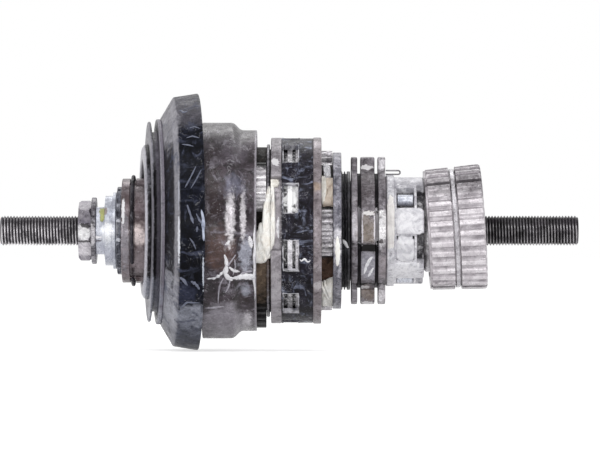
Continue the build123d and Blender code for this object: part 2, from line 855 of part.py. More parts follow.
def shoe_sleeve():
    """All shoes together: a tapered sleeve with a groove round its middle and axial ribs."""
    end = shoe_from + shoe_width
    groove_from = shoe_from + shoe_groove_from
    groove_end = groove_from + shoe_groove_width
    sleeve = turned([
        (shoe_from, shoe_bore_r), (shoe_from, shoe_front_r - shoe_lip_drop),
        (shoe_from + shoe_lip, shoe_front_r - shoe_lip_drop), (shoe_from + shoe_lip, shoe_r(shoe_from + shoe_lip)),
        (groove_from, shoe_r(groove_from)), (groove_from, shoe_groove_floor()),
        (groove_end, shoe_groove_floor()), (groove_end, shoe_r(groove_end)),
        (end - shoe_bevel, shoe_r(end - shoe_bevel)), (end, shoe_back_r - shoe_bevel),
        (end, shoe_bore_r),
    ])
    middle = (rib_grooves - 1) / 2
    angles = [c + rib_offset_deg + (i - middle) * rib_pitch_deg for c in shoe_centres() for i in range(rib_grooves)]
    for x0, x1 in ((shoe_from + shoe_lip, groove_from), (groove_end, end)):
        floor = shoe_r(x0) - rib_groove_depth
        slot = Rectangle(rib_groove_width * 2, rib_groove_width)
        slots = Sketch() + [Rot(0, 0, a) * Pos(floor + rib_groove_width, 0) * slot for a in angles]
        sleeve -= slab(slots, x0, x1)
    return sleeve


def brake_shoe(sleeve, centre):
    """One third of the sleeve, a little short of its neighbours."""
    half_turn = 180 / shoe_count
    trim = degrees(shoe_seam_gap / 2 / shoe_back_r)
    part = sector(shoe_bore_r - 1, shoe_back_r + 1, centre - half_turn + trim, centre + half_turn - trim)
    return shoe_place(sleeve & slab(part, shoe_from, shoe_from + shoe_width))


def shoe_spring_ring():
    """The sprung band round the shoes, with room for their travel."""
    inner = shoe_groove_floor() + shoe_travel + fit_gap
    start = shoe_from + shoe_groove_from + (shoe_groove_width - shoe_spring_width) / 2
    return shoe_place(ring(start, start + shoe_spring_width, inner + shoe_spring_thick, inner))


# Every sub-part by name
parts = {
    "axle": axle(),
    "drive_locknut": drive_locknut(),
    "lock_washer": lock_washer(),
    "drive_cone": drive_cone(),
    "driver_bush": driver_bush(),
    "carrier_bushes": carrier_bushes(),
    "low_sun_gear": low_sun(),
    "high_sun_gear": high_sun(),
    "cone_dust_cap": cone_dust_cap(),
    "drive_balls": balls(drive_ball_station, drive_ball_orbit, drive_ball_r, drive_ball_count),
    "drive_ball_retainer": retainer(drive_ball_station, drive_ball_orbit, drive_ball_r, drive_ball_count),
    "driver": driver(),
    "driver_pawls": driver_pawls(),
    "sprocket_snap_ring": sprocket_snap_ring(),
    "cup_balls": balls(cup_ball_station, cup_ball_orbit, cup_ball_r, cup_ball_count),
    "cup_ball_retainer": retainer(cup_ball_station, cup_ball_orbit, cup_ball_r, cup_ball_count),
    "cup_dust_cap": cup_dust_cap(),
    "cup_seal": cup_seal(),
    "ball_cup": ball_cup(),
    "ring_gear_housing": ring_gear_housing(),
    "carrier_front_plate": carrier_front_plate(),
    "carrier_front_body": carrier_front_body(),
    "carrier_middle_plate": carrier_middle_plate(),
    "carrier_hub_disc": carrier_hub_disc(),
    "carrier_rear_body": carrier_rear_body(),
    "carrier_end_flange": carrier_end_flange(),
    "low_planet_pins": low_pins(),
    "high_planet_pins": high_pins(),
    "clutch_ring_gear": clutch_ring_gear(),
    "drum_front_ring": drum_front_ring(),
    "clutch_cage": clutch_cage(),
    "drum_end_ring": drum_end_ring(),
    "lug_plate_front": lugged_ring(lug_from, front_plate_width),
    "lug_cam_ring": lugged_ring(cam_ring_from, cam_ring_width),
    "lug_plate_rear": lugged_ring(rear_plate_from, rear_plate_width),
    "lug_spacers": lug_spacers(),
    "brake_roller_cage": brake_roller_cage(),
    "brake_rollers": brake_rollers(),
    "friction_spring": friction_spring(),
    "brake_cone": brake_cone(),
    "shoe_spring_ring": shoe_spring_ring(),
}
for number, angle in enumerate(evenly(low_planets, low_first_deg), 1):
    parts[f"low_planet_{number}"] = low_planet(angle)
for number, angle in enumerate(evenly(high_planets, high_first_deg), 1):
    parts[f"high_planet_{number}"] = high_planet(angle)
shoes = shoe_sleeve()
for number, centre in enumerate(shoe_centres(), 1):
    parts[f"brake_shoe_{number}"] = brake_shoe(shoes, centre)

os.makedirs("parts", exist_ok=True)
for name, piece in parts.items():
    if isinstance(piece, list):
        piece = Compound(children=piece)
    export_step(piece, f"parts/{name}.step")
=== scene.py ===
import json
import math

import bmesh
import bpy
import numpy as np
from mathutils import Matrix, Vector


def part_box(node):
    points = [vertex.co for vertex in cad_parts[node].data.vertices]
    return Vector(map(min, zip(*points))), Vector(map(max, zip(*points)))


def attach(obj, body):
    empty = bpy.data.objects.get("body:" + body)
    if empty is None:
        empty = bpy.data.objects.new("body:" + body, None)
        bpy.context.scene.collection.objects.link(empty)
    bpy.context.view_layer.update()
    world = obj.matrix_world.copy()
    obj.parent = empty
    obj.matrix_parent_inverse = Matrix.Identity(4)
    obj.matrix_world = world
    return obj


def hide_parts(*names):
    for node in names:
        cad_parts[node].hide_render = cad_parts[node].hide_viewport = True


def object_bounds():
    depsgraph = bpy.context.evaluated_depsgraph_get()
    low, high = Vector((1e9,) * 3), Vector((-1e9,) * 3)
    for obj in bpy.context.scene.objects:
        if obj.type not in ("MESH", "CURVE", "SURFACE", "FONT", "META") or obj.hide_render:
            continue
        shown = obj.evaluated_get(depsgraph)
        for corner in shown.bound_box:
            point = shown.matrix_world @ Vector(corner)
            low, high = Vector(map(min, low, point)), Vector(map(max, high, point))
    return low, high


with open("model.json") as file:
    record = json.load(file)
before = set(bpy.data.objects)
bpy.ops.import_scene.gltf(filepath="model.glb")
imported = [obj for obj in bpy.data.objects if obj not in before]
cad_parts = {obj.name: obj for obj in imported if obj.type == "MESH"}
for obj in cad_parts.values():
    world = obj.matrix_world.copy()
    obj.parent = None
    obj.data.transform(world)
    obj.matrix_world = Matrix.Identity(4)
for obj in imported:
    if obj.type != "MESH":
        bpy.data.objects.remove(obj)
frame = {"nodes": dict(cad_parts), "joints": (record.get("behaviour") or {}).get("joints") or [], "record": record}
cad_box = [list(corner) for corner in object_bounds()]

# A bicycle's internal gear hub out of its shell: the finish of every piece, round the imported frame.
# Shapes are worked out in millimetres and become metres in the mesh.
# Angles round the axle count in degrees from the viewer's side (-Y) upwards.
metre = 1000
coarse = 1
turn_steps = 192 // coarse         # segments round the axle
sharp_over = 42                    # degrees between faces that keep a hard edge
bevel_over = 32                    # degrees at which a copied CAD piece gets a rounded edge
weld_reach = 2e-6                  # metres within which points are one
joints = {joint["name"]: joint for joint in frame["joints"]}
slot_of = {part["node"]: part["material_slot"] for part in frame["record"]["subparts"]}
body_of = {node: body for body, nodes in frame["record"]["behaviour"]["bodies"].items() for node in nodes}


# Places read from the frame
def span(node):
    """A coaxial node's first and last station and its outer radius."""
    low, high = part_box(node)
    return low.x * metre, high.x * metre, (high.z - low.z) / 2 * metre


def tilted_place(axis, centre):
    """The turn and the two shifts that carry a piece made about the axle onto a leaning axis
    through a centre."""
    axis = np.array(axis) / np.linalg.norm(axis)
    side = np.cross([0.0, 0.0, 1.0], axis)
    side /= np.linalg.norm(side)
    turn = np.stack([axis, side, np.cross(axis, side)], 1)
    return turn, np.array([centre[0], 0.0, 0.0]), np.array(centre)


cup_centre = np.array(joints["cup_spin"]["pos_m"]) * metre
cup_place = tilted_place(joints["cup_spin"]["axis"], cup_centre)
shoe_axis = np.cross(*[joints[f"brake_shoe_{k}_slide"]["axis"] for k in (1, 2)])
shoe_box = np.array([[list(corner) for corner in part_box(f"brake_shoe_{k}")] for k in (1, 2, 3)]) * metre
shoe_middle = (shoe_box[:, 0, 0].min() + shoe_box[:, 1, 0].max()) / 2
shoe_lift = 0.8
shoe_place = tilted_place(shoe_axis * np.sign(shoe_axis[0]), (shoe_middle, 0.0, shoe_lift))


# Surfaces on grids
def grid_faces(rows, columns, wrap_rows, wrap_columns):
    """Quads between neighbouring points of a grid, wrapping round where asked."""
    row = np.arange(rows if wrap_rows else rows - 1)[:, None]
    column = np.arange(columns if wrap_columns else columns - 1)[None, :]
    below, right = (row + 1) % rows, (column + 1) % columns
    here, under = row * columns, below * columns
    corners = [here + column, here + right, under + right, under + column]
    return np.stack(np.broadcast_arrays(*corners), -1).reshape(-1, 4)


def outward(points, quads):
    """The quads turned so that the shell's volume is positive."""
    a, b, c, d = (points[quads[:, k]] for k in range(4))
    volume = np.sum(np.cross(a, b) * c) + np.sum(np.cross(a, c) * d)
    return quads if volume > 0 else quads[:, ::-1]


def tidy_shell(mesh, cap=False):
    """Merges doubled points, closes open ends where asked and turns every face outwards."""
    work = bmesh.new()
    work.from_mesh(mesh)
    bmesh.ops.remove_doubles(work, verts=work.verts, dist=weld_reach)
    if cap:
        bmesh.ops.holes_fill(work, edges=[edge for edge in work.edges if edge.is_boundary], sides=0)
    bmesh.ops.recalc_face_normals(work, faces=work.faces)
    work.to_mesh(mesh)
    work.free()


def linked(name, mesh, sharp=sharp_over):
    """A smooth piece of that mesh, its hard edges kept, in the scene."""
    mesh.shade_smooth()
    mesh.set_sharp_from_angle(angle=math.radians(sharp))
    piece = bpy.data.objects.new(name, mesh)
    bpy.context.scene.collection.objects.link(piece)
    return piece


def solid(name, grid, wrap_rows=True, wrap_columns=True, weld=False, cap=False):
    """One piece from a grid of points (rows, columns, 3). Poles and seams are welded and open ends
    get flat caps where asked."""
    points = grid.reshape(-1, 3)
    quads = grid_faces(grid.shape[0], grid.shape[1], wrap_rows, wrap_columns)
    faces = outward(points - points.mean(0), quads)
    mesh = bpy.data.meshes.new(name)
    mesh.vertices.add(len(points))
    mesh.vertices.foreach_set("co", (points / metre).astype(np.float32).ravel())
    mesh.loops.add(faces.size)
    mesh.loops.foreach_set("vertex_index", faces.astype(np.int32).ravel())
    mesh.polygons.add(len(faces))
    mesh.polygons.foreach_set("loop_start", np.arange(0, faces.size, 4, dtype=np.int32))
    mesh.polygons.foreach_set("loop_total", np.full(len(faces), 4, dtype=np.int32))
    mesh.update(calc_edges=True)
    if weld or cap:
        tidy_shell(mesh, cap)
    return linked(name, mesh)


def around(count=turn_steps):
    """Even angles in degrees for a closed turn."""
    return np.arange(count) * 360 / count


def polar(x, r, angles):
    """Points at stations x and radii r, arrays that broadcast against the angles in degrees."""
    x, r, a = np.broadcast_arrays(x, r, np.radians(angles))
    return np.stack([x, -r * np.cos(a), r * np.sin(a)], -1)


def placed(points, place):
    """Points made about the axle, carried onto a leaning axis where a place is given."""
    if place is None:
        return points
    turn, middle, to = place
    return (points - middle) @ turn.T + to


def rounded(corners, radius, steps=4):
    """A closed outline whose corners are small quadratic bends, each with one more point beyond
    on both sides so that the flats stay flat."""
    p = np.array(corners, float)
    back, ahead = np.roll(p, 1, 0) - p, np.roll(p, -1, 0) - p
    back_length = np.linalg.norm(back, axis=1, keepdims=True)
    ahead_length = np.linalg.norm(ahead, axis=1, keepdims=True)
    reach = np.minimum(radius, 0.35 * np.minimum(back_length, ahead_length))
    toward_back, toward_ahead = back / back_length * reach, ahead / ahead_length * reach
    t = np.linspace(0, 1, steps)[None, :, None]
    start, end, corner = (p + toward_back)[:, None], (p + toward_ahead)[:, None], p[:, None]
    bend = (1 - t) ** 2 * start + 2 * t * (1 - t) * corner + t**2 * end
    before, after = (p + toward_back * 1.35)[:, None], (p + toward_ahead * 1.35)[:, None]
    return np.concatenate([before, bend, after], 1).reshape(-1, 2)


def lathe(name, corners, edge, place=None):
    """A turned piece: a closed (station, radius) outline with rounded corners, swept round the axle."""
    outline = rounded(corners, edge)
    return solid(name, placed(polar(outline[:, :1], outline[:, 1:], around()[None, :]), place))


def lines(start, end, step, breaks=(), soft=0.0):
    """Grid lines from start to end, evenly spaced, with a close pair at each break."""
    even = np.linspace(start, end, max(2, int(round((end - start) / (step * coarse))) + 1))
    pairs = np.array([b + side * soft / 2 for b in breaks for side in (-1, 1)])
    every = np.unique(np.concatenate([even, pairs]).round(6))
    every = every[(every >= start) & (every <= end)]
    return every[np.concatenate([[True], np.diff(every) > soft / 20 + 1e-6])]


def rims(x0, x1, edge):
    """Extra grid lines where a rounded rim bends at both ends."""
    step = edge * (1 - np.cos(np.linspace(0, math.pi / 2, 5)))
    return np.concatenate([x0 + step, x1 - step])


def stations(x0, x1, step, edge, breaks=(), soft=0.0):
    """Grid lines along a piece: even ones, close pairs at its breaks and more where its rims bend."""
    return np.unique(np.concatenate([lines(x0, x1, step, breaks, soft), rims(x0, x1, edge)]))


def between(values, low, high, soft):
    """1 between low and high, 0 outside, with a straight ramp of width soft at each side."""
    return np.clip((values - low) / soft + 0.5, 0, 1) * np.clip((high - values) / soft + 0.5, 0, 1)


def rim_drop(x, x0, x1, edge):
    """How far a rounded rim lies under the full radius, near the two ends of a piece."""
    d = np.clip(np.minimum(x - x0, x1 - x), 0, edge)
    return edge - np.sqrt(np.maximum(edge**2 - (edge - d) ** 2, 0))


def skin(name, xs, angles, bore, radius):
    """A carved ring: its outside is a height field radius(x, angle) on a grid, its inside the bore."""
    x, a = np.meshgrid(xs, angles, indexing="ij")
    ends = [polar(xs[k], bore, angles)[None] for k in (0, -1)]
    return solid(name, np.concatenate([ends[0], polar(x, radius(x, a), a), ends[1]]))


def pierced(name, xs, angles, inner, outer, is_open):
    """A ring with openings: an outer and an inner skin over the same grid lines, both left out where
    a cell's middle is open, and a wall between them wherever the skins end."""
    x, a = np.meshgrid(xs, angles, indexing="ij")
    points = np.concatenate([polar(x, outer(x, a), a).reshape(-1, 3), polar(x, inner, a).reshape(-1, 3)])
    here = np.arange(x.size).reshape(x.shape)
    beside = np.roll(here, -1, 1)
    middle_xs = (xs[1:] + xs[:-1]) / 2
    middle_angles = angles + np.diff(angles, append=angles[0] + 360) / 2
    middle_x, middle_a = np.meshgrid(middle_xs, middle_angles, indexing="ij")
    kept = ~is_open(middle_x, middle_a)
    cells = np.stack([here[:-1], beside[:-1], beside[1:], here[1:]], -1)[kept]
    rows = np.pad(kept, ((1, 1), (0, 0)))
    across = rows[1:] != rows[:-1]
    along = kept != np.roll(kept, 1, 1)
    ends = np.stack([here, beside, beside + x.size, here + x.size], -1)[across]
    flanks = np.stack([here[:-1], here[1:], here[1:] + x.size, here[:-1] + x.size], -1)[along]
    faces = np.concatenate([cells, cells + x.size, ends, flanks])
    mesh = bpy.data.meshes.new(name)
    mesh.from_pydata((points / metre).tolist(), [], faces.tolist())
    tidy_shell(mesh)
    return linked(name, mesh)


def sides(centres, half):
    """The two edges of openings that reach that far to both sides of their centres."""
    return [c + side * half for c in centres for side in (-1, 1)]


def full_turn(breaks, soft, step=360 / 192):
    """Angle lines all the way round with close pairs at the breaks, the last line left to the first."""
    every = lines(-180, 180, step, [(b + 180) % 360 - 180 for b in breaks], soft)
    return every[every < 180 - soft / 4 - 1e-6]


def plate(outline, bore, x0, x1, edge):
    """A grid for a flat outline of (across, up) points carried from x0 to x1 with rounded rims: near
    each face the outline is drawn in along its own normals by a quarter circle."""
    p = np.array(outline, float)
    along = np.roll(p, -1, 0) - np.roll(p, 1, 0)
    normal = np.stack([along[:, 1], -along[:, 0]], 1)
    normal /= np.linalg.norm(normal, axis=1, keepdims=True) + 1e-12
    if np.sum(normal * p) < 0:
        normal = -normal
    turn = np.linspace(0, math.pi / 2, 4)
    inset, step = edge * (1 - np.sin(turn)), edge * (1 - np.cos(turn))
    insets = np.concatenate([[edge * 1.5], inset, [0, 0], inset[::-1], [edge * 1.5]])
    flat = [x0 + edge * 1.4, x1 - edge * 1.4]
    faces = np.concatenate([[x0, x0], x0 + step, flat, x1 - step[::-1], [x1, x1]])
    rows = p[None] - normal[None] * insets[:, None, None]
    hole = (p / np.linalg.norm(p, axis=1, keepdims=True) * bore)[None]
    rows = np.concatenate([hole, rows, hole])
    xs = np.broadcast_to(faces[:, None], rows.shape[:2])
    return np.stack([xs, -rows[..., 0], rows[..., 1]], -1)


def wire(name, path, r, sides_round=12):
    """A round wire along a path of points (n, 3): at each point a circle stands across the path,
    and a dome closes each end."""
    path = np.array(path, float)
    along = np.gradient(path, axis=0)
    along /= np.linalg.norm(along, axis=1, keepdims=True)
    guide = np.array([1.0, 0.0, 0.0]) if abs(along[0, 0]) < 0.7 else np.array([0.0, 1.0, 0.0])
    first = np.cross(along, guide)
    first /= np.linalg.norm(first, axis=1, keepdims=True)
    second = np.cross(along, first)
    dome = np.radians([0, 35, 65, 90])
    straight = len(path) - 2
    reach = np.concatenate([-r * np.cos(dome), np.zeros(straight), r * np.cos(dome[::-1])])
    size = np.concatenate([r * np.sin(dome), np.full(straight, r), r * np.sin(dome[::-1])])
    pick = np.concatenate([[0] * 4, np.arange(1, len(path) - 1), [len(path) - 1] * 4])
    a = np.arange(sides_round) * 2 * math.pi / sides_round
    cos, sin = np.cos(a)[None, :, None], np.sin(a)[None, :, None]
    circle = first[pick][:, None] * cos + second[pick][:, None] * sin
    centre = path[pick] + along[pick] * reach[:, None]
    return solid(name, centre[:, None] + circle * size[:, None, None], wrap_rows=False, weld=True)


def waves(u, v, seed, count=6, low=1.0, high=4.0):
    """Smooth uneven hills between about -1 and 1: a few plane waves with seeded phases."""
    source = np.random.default_rng(seed)
    total = np.zeros(np.broadcast(u, v).shape)
    for _ in range(count):
        fu, fv = source.uniform(low, high, 2) * source.choice([-1, 1], 2)
        total = total + np.cos(2 * math.pi * (fu * u + fv * v) + source.uniform(0, 6.28))
    return total / count * 1.6


def grease(name, x0, x1, a0, a1, base, height, body, kind, seed, slant=0.0, ragged=0.22, wall=None,
           block=0.72, beyond=False):
    """A lump of grease on a round surface: a domed patch whose edge wanders. In the patch's own
    disc, height falls towards its edge, and waves roll over it; slant leans the patch along the
    axle as the angle grows, and a wall is a station that it can't pass: the patch ends there, or
    begins there where it lies beyond. The smaller block is, the squarer the patch."""
    rings, count = 16 // coarse, 72 // coarse
    rho = np.concatenate([np.linspace(0, 1, rings), np.linspace(1, 0, 4)[1:]])[:, None]
    phi = np.arange(count) * 2 * math.pi / count
    edge = 1 + ragged * waves(np.cos(phi) / 2, np.sin(phi) / 2, seed, 7, 0.8, 3.2)
    square_u = np.sign(np.cos(phi)) * np.abs(np.cos(phi)) ** block
    square_v = np.sign(np.sin(phi)) * np.abs(np.sin(phi)) ** block
    u, v = rho * square_u * edge, rho * square_v * edge
    middle_x, middle_a, half_x, half_a = (x0 + x1) / 2, (a0 + a1) / 2, (x1 - x0) / 2, (a1 - a0) / 2
    x = middle_x + half_x * u + slant * v
    if wall is not None:
        x = np.maximum(x, wall) if beyond else np.minimum(x, wall)
    a = middle_a + half_a * v
    top = np.arange(len(rho))[:, None] < rings
    dome = np.clip(1 - rho**10, 0, 1) ** 0.5
    rolls = 0.78 + 0.2 * waves(u / 2, v / 2, seed + 1, 5, 0.5, 1.6)
    rolls = rolls + 0.08 * waves(u, v, seed + 2, 6, 1.5, 3.0)
    r = np.where(top, base + height * dome * rolls, base - 0.02)
    r = np.where(rho > 0.999, base - 0.01, r)
    return added(solid(name, polar(x, r, a), wrap_rows=False, weld=True), body, kind)


def smear(name, way, base, half, height, body, kind, seed, place=None):
    """A stroke of grease on a round surface. Its middle line passes near points (x, z) seen from the
    viewer's side, its half width swells and thins along it, and its section is a low dome. The base
    is a radius, or a function that gives the radius at a station."""
    level = base if callable(base) else lambda x: np.full(np.shape(x), float(base))
    t = np.linspace(0, 1, 60 // coarse)
    corners = np.array(way, float)
    line = np.stack([np.interp(t, np.linspace(0, 1, len(corners)), corners[:, k]) for k in (0, 1)], 1)
    for _ in range(12 // coarse):
        line[1:-1] = (line[:-2] + 2 * line[1:-1] + line[2:]) / 4
    middle_r = float(level(line[:, 0]).mean())
    flat = np.stack([line[:, 0], middle_r * np.arcsin(line[:, 1] / middle_r)], 1)
    along = np.gradient(flat, axis=0)
    beside = np.stack([-along[:, 1], along[:, 0]], 1) / (np.linalg.norm(along, axis=1, keepdims=True) + 1e-9)
    wide = np.clip(np.sin(math.pi * t), 0, 1) ** 0.45 * (1 + 0.28 * waves(t * 2, t, seed, 5, 0.6, 2.0))
    wide = np.maximum(wide, 0.12 * np.sin(math.pi * t))
    across = np.concatenate([np.linspace(-1, 1, 9), np.linspace(1, -1, 5)[1:-1]])
    rise = np.concatenate([(1 - np.linspace(-1, 1, 9) ** 2) ** 0.6 * height, np.full(3, -0.05)])
    unrolled = flat[:, None] + beside[:, None] * (wide[:, None] * across[None] * half)[..., None]
    r = level(unrolled[..., 0]) + rise[None] * np.minimum(wide, 1)[:, None]
    shell = polar(unrolled[..., 0], r, np.degrees(unrolled[..., 1] / middle_r))
    return added(solid(name, placed(shell, place), wrap_rows=False, weld=True), body, kind)


def softened(node, width):
    """A copy of a CAD node with its doubles merged and flats joined, its hard edges rounded."""
    mesh = frame["nodes"][node].data.copy()
    work = bmesh.new()
    work.from_mesh(mesh)
    bmesh.ops.remove_doubles(work, verts=work.verts, dist=1e-6)
    bmesh.ops.dissolve_limit(work, angle_limit=math.radians(0.5), verts=work.verts, edges=work.edges)
    work.to_mesh(mesh)
    work.free()
    piece = linked(node + "_finished", mesh, bevel_over)
    bevel = piece.modifiers.new("edge", "BEVEL")
    bevel.width = width / metre
    bevel.segments = 2
    bevel.limit_method = "ANGLE"
    bevel.angle_limit = math.radians(bevel_over)
    return stands_for(piece, node)


# Procedural materials
class Finish:
    """One node material, built on the object's own coordinates. Lengths are millimetres."""

    def __init__(self, name):
        """The seed, from the name's letters, gives each material its own stretch of the noise."""
        self.material = bpy.data.materials.new(name)
        self.material.use_nodes = True
        self.nodes = self.material.node_tree.nodes
        self.links = self.material.node_tree.links
        self.shader = self.nodes["Principled BSDF"]
        self.place = self.nodes.new("ShaderNodeTexCoord").outputs["Object"]
        self.seed = sum(ord(letter) * (k + 3) for k, letter in enumerate(name)) % 97

    def link(self, value, socket):
        """A node's output or a plain value into a socket."""
        if isinstance(value, bpy.types.NodeSocket):
            self.links.new(value, socket)
        else:
            socket.default_value = value

    def mapped(self, scale=(1, 1, 1), shift=(0, 0, 0), turn=(0, 0, 0)):
        """Object coordinates turned, scaled and shifted."""
        mapping = self.nodes.new("ShaderNodeMapping")
        self.link(self.place, mapping.inputs["Vector"])
        mapping.inputs["Scale"].default_value = scale
        mapping.inputs["Location"].default_value = shift
        mapping.inputs["Rotation"].default_value = [math.radians(t) for t in turn]
        return mapping.outputs["Vector"]

    def noise(self, size, stretch=(1, 1, 1), detail=4, rough=0.55, twist=0.0, shift=0, turn=(0, 0, 0)):
        """Noise with features of about that size, drawn out along the axes."""
        noise = self.nodes.new("ShaderNodeTexNoise")
        away = (self.seed + shift * 7) * 0.031
        self.link(self.mapped(stretch, (away, away * 0.7, away * 1.3), turn), noise.inputs["Vector"])
        noise.inputs["Scale"].default_value = metre / size
        noise.inputs["Detail"].default_value = detail
        noise.inputs["Roughness"].default_value = rough
        noise.inputs["Distortion"].default_value = twist
        return noise.outputs["Fac"]

    def math(self, operation, a, b=0.0):
        """Two values joined by one of the Math node's operations."""
        node = self.nodes.new("ShaderNodeMath")
        node.operation = operation
        self.link(a, node.inputs[0])
        self.link(b, node.inputs[1])
        return node.outputs[0]

    def ramp(self, value, low, high, bottom=0.0, top=1.0):
        """A smooth step of the value from low to high."""
        node = self.nodes.new("ShaderNodeMapRange")
        node.interpolation_type = "SMOOTHSTEP"
        self.link(value, node.inputs["Value"])
        for key, number in (("From Min", low), ("From Max", high), ("To Min", bottom), ("To Max", top)):
            node.inputs[key].default_value = number
        return node.outputs["Result"]

    def most(self, *values):
        """The largest of the values."""
        total = values[0]
        for value in values[1:]:
            total = self.math("MAXIMUM", total, value)
        return total

    def times(self, *values):
        """The product of the values."""
        total = values[0]
        for value in values[1:]:
            total = self.math("MULTIPLY", total, value)
        return total

    def vein(self, value, at, width):
        """Thin curved lines where the value passes a level."""
        return self.ramp(self.math("ABSOLUTE", self.math("SUBTRACT", value, at)), 0.0, width, 1.0, 0.0)

    def mix(self, factor, a, b):
        """Colour a where the factor is 0 and colour b where it is 1."""
        node = self.nodes.new("ShaderNodeMix")
        node.data_type = "RGBA"
        self.link(factor, node.inputs["Factor"])
        for value, socket in ((a, node.inputs[6]), (b, node.inputs[7])):
            self.link((*value, 1.0) if isinstance(value, tuple) else value, socket)
        return node.outputs[2]

    def parts(self, place=None):
        """The point's station, depth and height in millimetres, along a leaning piece's own axis
        where its place is given."""
        split = self.nodes.new("ShaderNodeSeparateXYZ")
        self.link(self.place, split.inputs[0])
        x, y, z = (self.math("MULTIPLY", split.outputs[k], metre) for k in range(3))
        if place is None:
            return x, y, z
        turn, middle, to = place
        off = [self.math("SUBTRACT", value, float(to[k])) for k, value in enumerate((x, y, z))]
        rows = [[self.math("MULTIPLY", off[k], float(turn[k, j])) for k in range(3)] for j in range(3)]
        own = [self.math("ADD", self.math("ADD", row[0], row[1]), row[2]) for row in rows]
        return self.math("ADD", own[0], float(middle[0])), own[1], own[2]

    def distance(self, place=None):
        """Millimetres from the axle's centre line, or from a leaning piece's own one."""
        _, y, z = self.parts(place)
        return self.math("SQRT", self.math("ADD", self.math("MULTIPLY", y, y), self.math("MULTIPLY", z, z)))

    def band(self, value, low, high, soft=0.3):
        """1 between two levels of a value."""
        rise = self.ramp(value, low - soft, low + soft)
        fall = self.ramp(value, high - soft, high + soft, 1.0, 0.0)
        return self.times(rise, fall)

    def stray(self, value, reach):
        """A noise's value as a shift to and fro, reach being the whole way from side to side."""
        return self.math("MULTIPLY", self.math("SUBTRACT", value, 0.5), reach)

    def facing(self, y):
        """1 on the viewer's side of the axle, 0 behind it."""
        return self.ramp(self.math("MULTIPLY", y, -1.0), 0.0, 1.0)

    def patch(self, x, z, half_x, half_z, wander, shift, soft):
        """A soft patch on the viewer's side, centred at (x, z), whose edge wanders with noise."""
        px, py, pz = self.parts()
        off_x = self.math("DIVIDE", self.math("SUBTRACT", px, x), half_x)
        off_z = self.math("DIVIDE", self.math("SUBTRACT", pz, z), half_z)
        squares = self.math("ADD", self.math("MULTIPLY", off_x, off_x), self.math("MULTIPLY", off_z, off_z))
        size = max(0.9, min(half_x, half_z) * 1.2)
        loose = self.noise(size, detail=6, rough=0.66, twist=0.6, shift=shift + 40)
        far = self.math("ADD", self.math("SQRT", squares), self.stray(loose, wander * 4.5))
        return self.times(self.ramp(far, 0.92 - soft, 0.92 + soft, 1.0, 0.0), self.facing(py))

    def height(self, *layers):
        """Bumps: each layer is (value, depth in millimetres)."""
        normal = None
        for value, depth in layers:
            bump = self.nodes.new("ShaderNodeBump")
            bump.inputs["Strength"].default_value = 1.0
            bump.inputs["Distance"].default_value = depth / metre
            self.link(value, bump.inputs["Height"])
            if normal is not None:
                self.link(normal, bump.inputs["Normal"])
            normal = bump.outputs["Normal"]
        self.link(normal, self.shader.inputs["Normal"])

    def set(self, **sockets):
        """Values into the shader's sockets, named with an underscore for each space."""
        for key, value in sockets.items():
            socket = self.shader.inputs[key.replace("_", " ")]
            self.link((*value, 1.0) if isinstance(value, tuple) else value, socket)


def colour(code):
    """A linear colour from a six-digit screen colour."""
    parts = [int(code[k:k + 2], 16) / 255 for k in (0, 2, 4)]
    return tuple(((c + 0.055) / 1.055) ** 2.4 if c > 0.04045 else c / 12.92 for c in parts)


